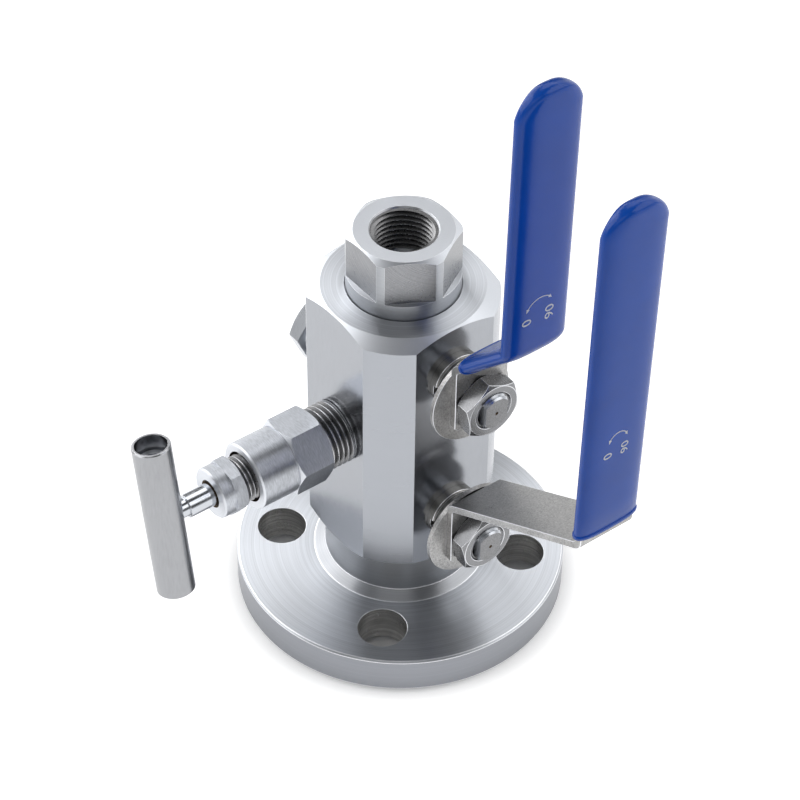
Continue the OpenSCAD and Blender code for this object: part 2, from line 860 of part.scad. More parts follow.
module bleed_follower() {
    color(turned_steel)
        ring_out(bleed_packing_y + bleed_packing_t, gland_in,
            gland_nut_thread_d / 2, bleed_stem_d / 2 + free_gap);
}

module bleed_gland_nut() {
    chamfer = 0.5;
    mouth = 0.6;
    bore_r = bleed_stem_d / 2 + free_gap;
    color(turned_steel)
        difference() {
            union() {
                bar_out(gland_in, gland_hex_y + over, gland_nut_thread_d / 2);
                rotate([90, 0, 0])
                    rotate([0, 0, gland_nut_turn])
                        hex_z(gland_hex_y, gland_collar_y, gland_nut_af, true, false);
                bar_out(gland_collar_y - over, gland_face - chamfer, gland_collar_d / 2);
                bar_out(gland_face - chamfer, gland_face, gland_collar_d / 2, gland_collar_d / 2 - chamfer);
            }
            bar_out(gland_in - over, gland_face + over, bore_r);
            bar_out(gland_face - mouth, gland_face + sliver, bore_r, bore_r + mouth);
        }
}

// Stands a part on the T-bar's axis, with +Z towards its open end
module tbar_place() {
    translate([0, -tbar_y, bleed_z])
        rotate([0, tbar_lean, 0])
            children();
}

module t_bar() {
    half = tbar_l / 2;
    chamfer = 0.35;
    r = tbar_d / 2;
    color(turned_steel)
        difference() {
            tbar_place()
                difference() {
                    union() {
                        bar_z(-half + chamfer, half - chamfer, r);
                        bar_z(half - chamfer, half, r, r - chamfer);
                        bar_z(-half, -half + chamfer, r - chamfer, r);
                    }
                    bar_z(neck_r, half + over, tbar_bore_d / 2);
                }
            translate([0, 0, bleed_z])
                bar_out(neck_y, tbar_y + neck_r + fit_gap, neck_r + fit_gap);
        }
}

module t_bar_screw() {
    low = neck_r + seat_fit;
    high = tbar_l / 2 - tbar_screw_depth;
    r = tbar_bore_d / 2 - thread_gap;
    chamfer = 0.7;
    socket_deep = 4.5;
    color(lever_steel)
        tbar_place()
            difference() {
                union() {
                    bar_z(low, low + 2 * chamfer, r - 2 * chamfer, r);
                    bar_z(low + 2 * chamfer, high - chamfer, r);
                    bar_z(high - chamfer, high, r, r - chamfer);
                }
                translate([0, 0, high - socket_deep])
                    cylinder(h = socket_deep + over, r = tbar_socket_af / sqrt(3), $fn = 6);
            }
}

// Vent plug, about the bleed valve's level, on the side away from the levers
module vent_plug() {
    hex_x = flat + plug_gap;
    groove_l = 1.8;
    groove = 1;
    color(turned_steel)
        rotate([0, 0, -90])
            union() {
                bar_out(plug_in, hex_x - groove_l, side_thread_d / 2);
                bar_out(hex_x - groove_l - over, hex_x + over, side_thread_d / 2 - groove);
                rotate([90, 0, 0])
                    rotate([0, 0, plug_turn])
                        hex_z(hex_x, hex_x + plug_hex_l, bonnet_af, false, true);
            }
}

module at(z) {
    translate([0, 0, z])
        children();
}

valve_body();
flange_connector();
end_connector();
flange_seal();
end_seal();
at(lower_z) ball();  // lower_ball
at(upper_z) ball();  // upper_ball
at(lower_z) seat("inlet");  // lower_inlet_seat
at(lower_z) seat("outlet");  // lower_outlet_seat
at(upper_z) seat("inlet");  // upper_inlet_seat
at(upper_z) seat("outlet");  // upper_outlet_seat
at(lower_z) stem();  // lower_stem
at(upper_z) stem();  // upper_stem
at(lower_z) thrust_washer();  // lower_thrust_washer
at(upper_z) thrust_washer();  // upper_thrust_washer
at(lower_z) packing();  // lower_packing
at(upper_z) packing();  // upper_packing
at(lower_z) follower();  // lower_follower
at(upper_z) follower();  // upper_follower
at(lower_z) gland_nut();  // lower_gland_nut
at(upper_z) gland_nut();  // upper_gland_nut
at(lower_z) stop_disc();  // lower_stop_disc
at(upper_z) stop_disc();  // upper_stop_disc
at(lower_z) stop_pin();  // lower_stop_pin
at(upper_z) stop_pin();  // upper_stop_pin
at(lower_z) lever(lower_path);  // lower_lever
at(upper_z) lever(upper_path);  // upper_lever
at(lower_z) grip(lower_path);  // lower_grip
at(upper_z) grip(upper_path);  // upper_grip
at(lower_z) lever_nut(lower_nut_turn);  // lower_lever_nut
at(upper_z) lever_nut(upper_nut_turn);  // upper_lever_nut
at(bleed_z) bleed_bonnet();
at(bleed_z) bleed_stem();
at(bleed_z) bleed_needle();
at(bleed_z) bleed_packing();
at(bleed_z) bleed_follower();
at(bleed_z) bleed_gland_nut();
t_bar();
t_bar_screw();
at(bleed_z) vent_plug();
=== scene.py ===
# %% [markdown]
# A double block and bleed valve for a small process line: two ball valves in one bar of stainless steel,
# and a needle valve that bleeds the space between them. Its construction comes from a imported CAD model,
# which is loaded first and stays where it is. This lesson gives it the finish of the real valve: edges that
# a file has broken, threads, dipped vinyl grips, and steel that looks turned, milled or tumbled.

# %% Load the frame
from math import atan2, cos, hypot, pi, radians, sin, sqrt, tan

import bpy
from mathutils import Matrix, Vector


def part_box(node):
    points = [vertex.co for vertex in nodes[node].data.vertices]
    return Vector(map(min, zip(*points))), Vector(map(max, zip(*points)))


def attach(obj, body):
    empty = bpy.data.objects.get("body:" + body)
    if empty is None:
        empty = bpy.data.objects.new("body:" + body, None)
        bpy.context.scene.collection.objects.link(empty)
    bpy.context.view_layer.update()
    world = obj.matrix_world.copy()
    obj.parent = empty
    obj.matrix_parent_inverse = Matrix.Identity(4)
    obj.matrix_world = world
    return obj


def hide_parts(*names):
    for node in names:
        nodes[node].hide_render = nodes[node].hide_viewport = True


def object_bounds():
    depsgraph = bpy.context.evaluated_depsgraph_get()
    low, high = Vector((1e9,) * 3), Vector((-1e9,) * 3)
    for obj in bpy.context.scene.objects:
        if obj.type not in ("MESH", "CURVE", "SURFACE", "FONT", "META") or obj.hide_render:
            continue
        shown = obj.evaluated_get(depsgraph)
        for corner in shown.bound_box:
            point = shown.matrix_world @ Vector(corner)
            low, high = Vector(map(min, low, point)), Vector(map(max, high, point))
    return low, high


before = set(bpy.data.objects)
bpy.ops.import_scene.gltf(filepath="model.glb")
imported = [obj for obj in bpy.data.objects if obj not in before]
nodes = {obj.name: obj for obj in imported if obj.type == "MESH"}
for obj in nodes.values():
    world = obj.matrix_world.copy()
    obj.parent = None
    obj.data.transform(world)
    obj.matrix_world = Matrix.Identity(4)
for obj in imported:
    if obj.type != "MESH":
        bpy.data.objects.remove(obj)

MM = 0.001
cad_low, cad_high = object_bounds()
size_mm = [round((cad_high[i] - cad_low[i]) / MM, 1) for i in range(3)]
print("CAD nodes:", len(nodes), "and their box in mm:", size_mm)

# %% [markdown]
# The camera looks down on the valve from its front right corner with a long lens, so upright edges stay
# nearly parallel. Its place was worked out from the flange's ellipse and the height of the body. It could be
# aimed with a Track To constraint, but three written axes are exact and need no target object.

# %% Camera
camera_place = Vector((0.47662, -0.36270, 0.64522))
camera_turn = radians(52.789)
camera_rise = radians(43.447)
camera_roll = radians(0.689)
lens_mm = 118.08

back = Vector((sin(camera_turn) * cos(camera_rise), -cos(camera_turn) * cos(camera_rise), sin(camera_rise)))
level = Vector((cos(camera_turn), sin(camera_turn), 0))
upright = back.cross(level)
right = cos(camera_roll) * level + sin(camera_roll) * upright
up = cos(camera_roll) * upright - sin(camera_roll) * level

camera = bpy.data.objects.new("camera", bpy.data.cameras.new("camera"))
bpy.context.scene.collection.objects.link(camera)
camera.data.lens = lens_mm
camera.data.sensor_width = 36
camera.data.clip_end = 20
camera.matrix_world = Matrix((
    (right.x, up.x, back.x, camera_place.x),
    (right.y, up.y, back.y, camera_place.y),
    (right.z, up.z, back.z, camera_place.z),
    (0, 0, 0, 1),
))
bpy.context.scene.camera = camera
print("camera is", round(camera_place.length, 3), "m from the flange's centre")

# %% [markdown]
# Steel shows what stands round it more than it shows its own colour. The studio is a white table, a grey
# room, three softboxes on the camera's side and three behind the valve. The lamps in the plane that runs
# through the camera are weak, so turned faces keep the dark wedge that real ones show between two bright
# fans. The lamps behind light only what mirrors them, or they would throw long shadows on the table.
# A plain lamp would do for paint, but it makes metal look black with one white dot.


# %% A way to write node trees
def add(tree, kind, *inputs, **settings):
    """Adds one node to a tree, then sets or joins its inputs in their order. None leaves an input alone."""
    made = tree.nodes.new("ShaderNode" + kind)
    for key, value in settings.items():
        setattr(made, key, value)
    for place, value in enumerate(inputs):
        if isinstance(value, bpy.types.NodeSocket):
            tree.links.new(value, made.inputs[place])
        elif value is not None:
            made.inputs[place].default_value = value
    return made


def math(tree, operation, *inputs):
    """The result of one sum on numbers."""
    return add(tree, "Math", *inputs, operation=operation).outputs[0]


def vector(tree, operation, *inputs):
    """The vector that one sum on vectors gives."""
    return add(tree, "VectorMath", *inputs, operation=operation).outputs[0]


def empty_material(name):
    """A material with no nodes but its output."""
    material = bpy.data.materials.new(name)
    material.use_nodes = True
    material.node_tree.nodes.clear()
    output = material.node_tree.nodes.new("ShaderNodeOutputMaterial")
    return material, material.node_tree, output


# %% Table and room
table_size = 9.0
overhead_grey = 0.12
horizon_white = 0.80
table_white = 0.84
table_glow = 0.84
painted_shadow_r, painted_shadow_fade_r = 0.046, 0.064
far_glow = 0.10
far_from, far_to = 0.35, 1.6
horizon_height = 0.22

bpy.ops.object.select_all(action="DESELECT")
bpy.ops.mesh.primitive_plane_add(size=table_size)
table = bpy.context.active_object
table.name = "table"

table_material, tree, output = empty_material("white_table")
rays = add(tree, "LightPath")
seen = math(tree, "MAXIMUM", rays.outputs["Is Camera Ray"], rays.outputs["Is Glossy Ray"])
seen = math(tree, "MAXIMUM", seen, rays.outputs["Is Transmission Ray"])
spot = add(tree, "TexCoord").outputs["Object"]
reach = add(tree, "VectorMath", spot, operation="LENGTH").outputs["Value"]
# Painted shadow: the glow is left out under the flange and fades in just past its rim, so the table is darker
# round the valve's foot and where it is seen through the bolt holes.
near = add(tree, "MapRange", reach, painted_shadow_r, painted_shadow_fade_r, 0.0, table_glow, interpolation_type="SMOOTHSTEP")
far = add(tree, "MapRange", reach, far_from, far_to, 0.0, far_glow, interpolation_type="SMOOTHSTEP")
glow_here = math(tree, "ADD", near.outputs[0], far.outputs[0])
paper = add(tree, "BsdfDiffuse", (table_white, table_white, table_white, 1))
glow = add(tree, "Emission", (1, 1, 1, 1), math(tree, "MULTIPLY", seen, glow_here))
both = add(tree, "AddShader", paper.outputs[0], glow.outputs[0])
tree.links.new(both.outputs[0], output.inputs["Surface"])
table.data.materials.append(table_material)

world = bpy.data.worlds.new("grey_room")
world.use_nodes = True
tree = world.node_tree
background = tree.nodes["Background"]
height = add(tree, "SeparateXYZ", add(tree, "TexCoord").outputs["Generated"]).outputs["Z"]
wall = add(tree, "MapRange", height, 0.0, horizon_height, horizon_white, overhead_grey,
           interpolation_type="SMOOTHSTEP")
tree.links.new(wall.outputs[0], background.inputs["Strength"])
background.inputs["Color"].default_value = (0.98, 0.99, 1.0, 1)
bpy.context.scene.world = world
bpy.context.scene.view_settings.view_transform = "Standard"
print("table", table_size, "m wide, overhead grey", overhead_grey)


# %% Softboxes
def softbox(name, to_right, to_camera, rise, distance, width, height, brightness, lights_table=True):
    """A rectangular lamp that faces the valve.

    Its direction has a share to the camera's right, one toward the camera and one upward. The distance,
    width and height are in metres.
    """
    aim = Vector((0, 0, 0.09))
    front = Vector((back.x, back.y, 0)).normalized()
    toward = (to_right * level + to_camera * front + Vector((0, 0, rise))).normalized()
    lamp = bpy.data.objects.new(name, bpy.data.lights.new(name, "AREA"))
    bpy.context.scene.collection.objects.link(lamp)
    lamp.data.shape = "RECTANGLE"
    lamp.data.size = width
    lamp.data.size_y = height
    lamp.data.energy = brightness * pi * width * height
    lamp.location = aim + toward * distance
    lamp.rotation_euler = (-toward).to_track_quat("-Z", "Y").to_euler()
    lamp.visible_camera = False
    lamp.visible_diffuse = lights_table
    return lamp


softbox("left_softbox", -0.80, 0.04, 0.62, 1.5, 1.2, 1.2, 2.2)
softbox("right_softbox", 0.80, 0.08, 0.62, 1.5, 1.2, 1.2, 1.8)
softbox("front_softbox", -0.10, 0.70, 0.72, 1.6, 1.1, 0.8, 0.85)
softbox("left_rear_softbox", -0.60, -0.62, 0.46, 1.6, 1.35, 1.5, 2.9, lights_table=False)
softbox("right_rear_softbox", 0.60, -0.62, 0.46, 1.6, 1.35, 1.5, 1.15, lights_table=False)
softbox("rear_softbox", 0.16, -0.58, 1.0, 1.7, 1.1, 0.8, 1.9, lights_table=False)

# %% [markdown]
# A lathe leaves fine rings on steel. Each ring tilts the surface a little to one side and the other, so a
# highlight spreads across the rings and stays narrow along them. The shader's anisotropy does this, if it is
# told where the rings run: round the axis that the piece was turned on. The rings themselves are a noise that
# depends only on the distance from that axis and the place along it.


# %% Turned steel
def turned_steel(name, axis, centre, colour, roughness, rings_per_mm, depth_mm, spread=0.75, streaks=0.10):
    """Steel turned about an axis through a centre, which is in metres."""
    material, tree, output = empty_material(name)
    place = vector(tree, "SUBTRACT", add(tree, "TexCoord").outputs["Object"], Vector(centre))
    along = add(tree, "VectorMath", place, Vector(axis), operation="DOT_PRODUCT").outputs["Value"]
    round_it = vector(tree, "CROSS_PRODUCT", Vector(axis), place)
    radius = add(tree, "VectorMath", round_it, operation="LENGTH").outputs["Value"]
    tangent = add(tree, "VectorTransform", vector(tree, "NORMALIZE", round_it),
                  vector_type="VECTOR", convert_from="OBJECT", convert_to="WORLD").outputs[0]
    ring_place = add(tree, "CombineXYZ", radius, along, 0.0).outputs[0]
    fine = add(tree, "TexNoise", ring_place, None, rings_per_mm / MM, 2.0, 0.6).outputs["Fac"]
    broad = add(tree, "TexNoise", ring_place, None, rings_per_mm / MM / 5, 2.0, 0.5).outputs["Fac"]
    patches = add(tree, "TexNoise", place, None, 90.0, 3.0, 0.5).outputs["Fac"]
    rings = math(tree, "ADD", math(tree, "MULTIPLY", fine, 0.7), math(tree, "MULTIPLY", broad, 0.3))
    shade = add(tree, "MapRange", rings, 0.3, 0.7, 1 - streaks, 1 + streaks * 0.4).outputs[0]
    tint = add(tree, "Mix", data_type="RGBA", blend_type="MULTIPLY")
    tint.inputs["Factor"].default_value = 1.0
    tint.inputs["A"].default_value = (*colour, 1)
    tree.links.new(shade, tint.inputs["B"])
    dull_spots = math(tree, "MULTIPLY", math(tree, "ADD", patches, fine), 0.06)
    gloss = math(tree, "ADD", roughness - 0.06, dull_spots)
    bump = add(tree, "Bump", 1.0, depth_mm * MM, None, rings)
    skin = add(tree, "BsdfPrincipled")
    skin.inputs["Metallic"].default_value = 1.0
    skin.inputs["Anisotropic"].default_value = spread
    skin.inputs["Anisotropic Rotation"].default_value = 0.25
    tree.links.new(tint.outputs["Result"], skin.inputs["Base Color"])
    tree.links.new(gloss, skin.inputs["Roughness"])
    tree.links.new(bump.outputs[0], skin.inputs["Normal"])
    tree.links.new(tangent, skin.inputs["Tangent"])
    tree.links.new(skin.outputs[0], output.inputs["Surface"])
    return material


# %% [markdown]
# A milled or ground flat has straight marks, and a tumbled or pressed part has none: its surface is a fine
# even grain. One function makes both from a stretched noise: long in one direction for milling marks, equal
# in all directions for a tumbled skin.


# %% Milled and tumbled steel
def worked_steel(name, colour, roughness, stretch, grain_mm, depth_mm, mottle=0.08, along=None, spread=0.0,
                 arcs_about=None, speckle=0.05):
    """Steel whose marks are noise: stretched by three factors along the axes, or in arcs about a place."""
    material, tree, output = empty_material(name)
    place = add(tree, "TexCoord").outputs["Object"]
    marks_place = vector(tree, "MULTIPLY", place, Vector(stretch))
    if arcs_about:
        from_middle = vector(tree, "SUBTRACT", place, Vector(arcs_about))
        swing = add(tree, "VectorMath", from_middle, operation="LENGTH")
        marks_place = add(tree, "CombineXYZ", swing.outputs["Value"], 0.0, 0.0).outputs[0]
    marks = add(tree, "TexNoise", marks_place, None, 1 / (grain_mm * MM), 3.0, 0.6).outputs["Fac"]
    patches = add(tree, "TexNoise", place, None, 70.0, 4.0, 0.6).outputs["Fac"]
    specks = add(tree, "TexNoise", place, None, 1400.0, 2.0, 0.7).outputs["Fac"]
    mixed = math(tree, "ADD", math(tree, "MULTIPLY", marks, 0.65), math(tree, "MULTIPLY", patches, 0.35))
    shade = add(tree, "MapRange", mixed, 0.35, 0.65, 1 - mottle, 1.0).outputs[0]
    tint = add(tree, "Mix", data_type="RGBA", blend_type="MULTIPLY")
    tint.inputs["Factor"].default_value = 1.0
    tint.inputs["A"].default_value = (*colour, 1)
    tree.links.new(shade, tint.inputs["B"])
    gloss = add(tree, "MapRange", math(tree, "ADD", patches, specks), 0.7, 1.3, roughness - speckle,
                roughness + speckle).outputs[0]
    bump = add(tree, "Bump", 1.0, depth_mm * MM, None, marks)
    skin = add(tree, "BsdfPrincipled")
    skin.inputs["Metallic"].default_value = 1.0
    tree.links.new(tint.outputs["Result"], skin.inputs["Base Color"])
    tree.links.new(gloss, skin.inputs["Roughness"])
    tree.links.new(bump.outputs[0], skin.inputs["Normal"])
    if along:
        skin.inputs["Anisotropic"].default_value = spread
        tangent = add(tree, "VectorTransform", Vector(along),
                      vector_type="VECTOR", convert_from="OBJECT", convert_to="WORLD").outputs[0]
        tree.links.new(tangent, skin.inputs["Tangent"])
    tree.links.new(skin.outputs[0], output.inputs["Surface"])
    return material


# %% The steels
def middle(node):
    """The middle of a CAD node's box."""
    low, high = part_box(node)
    return (low + high) / 2


bleed_axis = Vector((0, 0, middle("bleed_bonnet").z))
lower_axis = Vector((0, 0, middle("lower_gland_nut").z))
upper_axis = Vector((0, 0, middle("upper_gland_nut").z))
x_axis, y_axis, z_axis = (1, 0, 0), (0, 1, 0), (0, 0, 1)
steel = (0.55, 0.57, 0.605)
# Painted light: lighter than the plain steel, for the bleed valve's bonnet and gland nut, and the nodes that
# stay.
painted_light_steel = (0.71, 0.73, 0.77)
# Painted shade: the next three are the plain steel made darker, for cones that look up, for faces that stand
# or look down, and for the flange's rim.
shaded_hub_steel = (0.37, 0.38, 0.40)
shaded_side_steel = (0.45, 0.465, 0.49)
shaded_rim_steel = (0.285, 0.295, 0.32)
dull_steel = (0.50, 0.495, 0.49)
nut_steel = (0.25, 0.253, 0.262)
# Painted shade: a darker steel for the body's upright round strips.
shaded_strip_steel = (0.37, 0.385, 0.415)

# A turned steel has a name, an axis and its centre, a colour and a roughness, rings per mm and their depth in
# mm, and then how far a highlight spreads across the rings and how much they differ in shade.
face_turned = turned_steel("face_turned", z_axis, (0, 0, 0), steel, 0.44, 4.0, 0.007, 0.93, 0.22)
# Painted shade in the hub, side, rim and strip steels below, and painted light in the bleed steel.
shaded_hub_turned = turned_steel("shaded_hub_turned", z_axis, (0, 0, 0), shaded_hub_steel, 0.36, 4.0, 0.006, 0.80, 0.20)
shaded_side_turned = turned_steel("shaded_side_turned", z_axis, (0, 0, 0), shaded_side_steel, 0.34, 4.0, 0.003, 0.6)
shaded_rim_turned = turned_steel("shaded_rim_turned", z_axis, (0, 0, 0), shaded_rim_steel, 0.34, 4.0, 0.003, 0.6)
shaded_strip_turned = turned_steel("shaded_strip_turned", z_axis, (0, 0, 0), shaded_strip_steel, 0.26, 4.0, 0.0015, 0.45, 0.03)
bleed_turned_painted_light = turned_steel("bleed_turned_painted_light", y_axis, bleed_axis, painted_light_steel, 0.46, 5.0, 0.002, 0.60)
plug_turned = turned_steel("plug_turned", x_axis, bleed_axis, steel, 0.28, 4.0, 0.004)
lower_turned = turned_steel("lower_turned", x_axis, lower_axis, steel, 0.30, 4.0, 0.004)
upper_turned = turned_steel("upper_turned", x_axis, upper_axis, steel, 0.30, 4.0, 0.004)

# A worked steel has a name, a colour and a roughness, the stretch of its marks along the three axes, their
# size and depth in mm, and how much they differ in shade.
# Painted shade: the body's flats and the end's hex flats are darker than the turned steel.
shaded_body_milled = worked_steel("shaded_body_milled", (0.375, 0.388, 0.415), 0.19, (1, 1, 0.12), 0.5, 0.001, 0.06)
cutter_middle = (0.013, 0.004, 0.158)
shaded_hex_milled = worked_steel("shaded_hex_milled", (0.36, 0.365, 0.38), 0.30, (1, 1, 1), 0.30, 0.012, 0.40,
                          arcs_about=cutter_middle)
bonnet_milled = worked_steel("bonnet_milled", (0.53, 0.55, 0.59), 0.38, (0.15, 1, 0.15), 0.3, 0.012, 0.34,
                             along=y_axis, spread=0.6)
faced_steel = worked_steel("faced_steel", (0.57, 0.59, 0.625), 0.42, (1, 1, 1), 0.22, 0.003, 0.05)
# Painted light: lighter than the face's steel, for the insides of the flange's bolt holes.
lit_bored_steel = worked_steel("lit_bored_steel", (0.74, 0.735, 0.72), 0.30, (0.03, 0.03, 1), 0.9, 0.020, 0.50)
gland_dark = worked_steel("gland_dark", (0.33, 0.32, 0.30), 0.36, (0.3, 1, 1), 0.35, 0.020, 0.35)
# Painted highlight: lighter than the steel it edges, for the faces that the bevel adds.
highlit_filed_edge = worked_steel("highlit_filed_edge", (0.80, 0.81, 0.84), 0.34, (1, 1, 1), 0.5, 0.002, 0.10)
bar_brushed = worked_steel("bar_brushed", (0.36, 0.365, 0.38), 0.25, (1, 1, 0.1), 0.6, 0.0002, 0.10,
                           speckle=0.01)
stem_polished = worked_steel("stem_polished", steel, 0.14, (1, 0.2, 1), 0.5, 0.001, 0.04)
# Painted shade: darker than the stems' side, for their flat ends.
shaded_stem_end = worked_steel("shaded_stem_end", (0.29, 0.292, 0.30), 0.34, (1, 1, 1), 0.4, 0.014, 0.45)
lever_tumbled = worked_steel("lever_tumbled", dull_steel, 0.36, (1, 1, 1), 0.55, 0.045, 0.55, speckle=0.09)
nut_tumbled = worked_steel("nut_tumbled", nut_steel, 0.26, (1, 1, 1), 0.5, 0.008, 0.14)
# Painted shade: dark brown inside the bonnet's mouth, the bleed gland's bore and the stems' centre marks.
hollow_shade_steel = worked_steel("hollow_shade_steel", (0.10, 0.07, 0.045), 0.50, (1, 1, 1), 0.4, 0.02, 0.5)
# Painted highlight on the threads' crests and painted shade in their valleys.
crest_highlight_steel = worked_steel("crest_highlight_steel", (0.78, 0.785, 0.80), 0.30, (1, 1, 1), 0.5, 0.006, 0.20)
valley_shade_steel = worked_steel("valley_shade_steel", (0.26, 0.26, 0.265), 0.30, (1, 1, 1), 0.5, 0.006, 0.30)
print("steels:", [m.name for m in bpy.data.materials if m.users == 0])


# %% Vinyl and sealing plastic
def moulded(name, colour, roughness, grain_mm, depth_mm, shine):
    """A smooth plastic skin with a faint unevenness."""
    material, tree, output = empty_material(name)
    place = add(tree, "TexCoord").outputs["Object"]
    waves = add(tree, "TexNoise", place, None, 1 / (grain_mm * MM), 2.0, 0.5).outputs["Fac"]
    clouds = add(tree, "TexNoise", place, None, 60.0, 2.0, 0.5).outputs["Fac"]
    tint = add(tree, "Mix", data_type="RGBA", blend_type="MULTIPLY")
    tint.inputs["Factor"].default_value = 1.0
    tint.inputs["A"].default_value = (*colour, 1)
    tree.links.new(add(tree, "MapRange", clouds, 0.3, 0.7, 0.93, 1.03).outputs[0], tint.inputs["B"])
    bump = add(tree, "Bump", 1.0, depth_mm * MM, None, waves)
    skin = add(tree, "BsdfPrincipled")
    skin.inputs["Specular IOR Level"].default_value = shine
    tree.links.new(tint.outputs["Result"], skin.inputs["Base Color"])
    tree.links.new(add(tree, "MapRange", waves, 0.3, 0.7, roughness - 0.03, roughness + 0.03).outputs[0],
                   skin.inputs["Roughness"])
    tree.links.new(bump.outputs[0], skin.inputs["Normal"])
    tree.links.new(skin.outputs[0], output.inputs["Surface"])
    return material


blue_vinyl = moulded("blue_vinyl", (0.004, 0.078, 0.47), 0.22, 14.0, 0.006, 0.30)
white_plastic = moulded("white_plastic", (0.80, 0.79, 0.76), 0.45, 0.5, 0.01, 0.5)

# %% [markdown]
# Solid models have knife edges. On the real valve each edge was broken with a file or a tumbler, and that
# narrow slope catches the light as a bright line. A copy of each steel node is welded, its flat triangles
# are joined into whole faces, and a Bevel modifier takes the edges off. The bevel keeps the flats flat. On
# most copies its new faces also get a lighter steel: a painted highlight along the edges.


# %% Copies with broken edges
def take(piece):
    """Selects one piece alone and makes it the active one."""
    bpy.ops.object.select_all(action="DESELECT")
    piece.select_set(True)
    bpy.context.view_layer.objects.active = piece


def apply_all(piece):
    """Applies a piece's modifiers, the first one first."""
    take(piece)
    for name in [m.name for m in piece.modifiers]:
        bpy.ops.object.modifier_apply(modifier=name)


def copied(node, name):
    """A welded copy of a CAD node's mesh as a new object, with its flat triangles joined."""
    piece = bpy.data.objects.new(name, nodes[node].data.copy())
    bpy.context.scene.collection.objects.link(piece)
    take(piece)
    bpy.ops.mesh.customdata_custom_splitnormals_clear()
    bpy.ops.object.mode_set(mode="EDIT")
    bpy.ops.mesh.select_all(action="SELECT")
    bpy.ops.mesh.remove_doubles(threshold=0.002 * MM)
    bpy.ops.mesh.dissolve_limited(angle_limit=radians(0.6))
    bpy.ops.object.mode_set(mode="OBJECT")
    return piece


def break_edges(piece, width_mm, steps=2):
    """Takes the edges off a piece and shades it smooth. The new faces get its second finish, if any."""
    bevel = piece.modifiers.new("broken_edges", "BEVEL")
    bevel.material = 1 if len(piece.data.materials) > 1 else -1
    bevel.width = width_mm * MM
    bevel.segments = steps
    bevel.limit_method = "ANGLE"
    bevel.angle_limit = radians(24)
    bevel.use_clamp_overlap = True
    bevel.harden_normals = True
    take(piece)
    bpy.ops.object.shade_smooth()
    apply_all(piece)


def paint(piece, *finishes):
    """Gives the whole piece the first finish, and keeps the others for its edges."""
    piece.data.materials.clear()
    for material in finishes:
        piece.data.materials.append(material)
    for face in piece.data.polygons:
        face.material_index = 0


def paint_faces(piece, material, chosen):
    """Gives a second finish to the faces that a test on their middle and normal picks."""
    piece.data.materials.append(material)
    slot = len(piece.data.materials) - 1
    count = 0
    for face in piece.data.polygons:
        if face.material_index != 1 and chosen(face.center / MM, face.normal):
            face.material_index = slot
            count += 1
    return count


def worked_copy(node):
    """A copy of a node that stands for it and is still to be cut or finished."""
    piece = copied(node, node + "_skin")
    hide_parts(node)
    return piece


def finish_piece(piece, width_mm, material, body):
    """Breaks a worked piece's edges, paints it and sets it on its body."""
    paint(piece, material, highlit_filed_edge)
    break_edges(piece, width_mm)
    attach(piece, body)
    return piece


def dressed(node, width_mm, material, body):
    """A copy of a node that needs only broken edges and a finish."""
    return finish_piece(worked_copy(node), width_mm, material, body)

# %% [markdown]
# One piece was often made with several tools: its faces turned, its flats milled, its holes bored. So some
# faces of a copy get a finish of their own. Many of these finishes are also lighter or darker than the plain
# steel, as painted light and painted shade. A test picks them by the place of a face's middle, in
# millimetres, and by its normal, the direction that the face looks in. Painting by hand in Edit Mode would do
# the same, but a test still works when the CAD model changes a little.


# %% Body
def valve_r(c):
    """How far a place is from the valve's upright axis."""
    return hypot(c.x, c.y)


def is_side(n, most=0.1):
    """Tells whether a face stands upright."""
    return abs(n.z) < most


def is_cone(n):
    """Tells whether a face slopes and looks up."""
    return 0.2 < n.z < 0.9


def on_flat(c, n):
    """Tells whether a face lies on one of the body's four milled flats."""
    return max(abs(n.x), abs(n.y)) > 0.999 and max(abs(c.x), abs(c.y)) > flat_side - 0.05


valve_body = dressed("valve_body", 0.18, face_turned, "body")
flat_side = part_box("valve_body")[1].x / MM
body_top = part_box("valve_body")[1].z / MM
strip_r = 28.0
cone_r = 24.0
cone_low = body_top - 2.9
# Painted shade: the flats, the round strips and the underside get darker steel than the turned faces.
print("body faces milled:", paint_faces(valve_body, shaded_body_milled, on_flat))
paint_faces(valve_body, shaded_strip_turned, lambda c, n: is_side(n, 0.01) and valve_r(c) > strip_r)
paint_faces(valve_body, shaded_side_turned, lambda c, n: n.z < -0.1)
paint_faces(valve_body, faced_steel, lambda c, n: is_cone(n) and c.z > cone_low and valve_r(c) > cone_r)

# %% Flanged end
flange = dressed("flange_connector", 0.20, face_turned, "body")
rim_top = 14.8
neck_r = 26.0
hole_in, hole_out = 28.0, 52.0
rim_r = 53.0
# Painted light: the bolt holes get a lighter steel than the face.
count = paint_faces(flange, lit_bored_steel,
                    lambda c, n: is_side(n) and c.z < rim_top and hole_in < valve_r(c) < hole_out)
print("bolt hole faces:", count)
# Painted shade: the rim, the neck and the hub cone get darker steel than the face.
paint_faces(flange, shaded_rim_turned, lambda c, n: is_side(n) and valve_r(c) > rim_r)
paint_faces(flange, shaded_side_turned, lambda c, n: is_side(n) and valve_r(c) < neck_r)
paint_faces(flange, shaded_hub_turned, lambda c, n: is_cone(n) and c.z > rim_top)

# %% Threaded end
end = dressed("end_connector", 0.18, face_turned, "body")
end_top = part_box("end_connector")[1].z / MM
end_flat = 15.9
end_flat_r = 14.0
end_round_r = 17.0
rim_low = end_top - 1.4
rim_in = 11.5
countersink_low = end_top - 3
countersink_r = 12.0
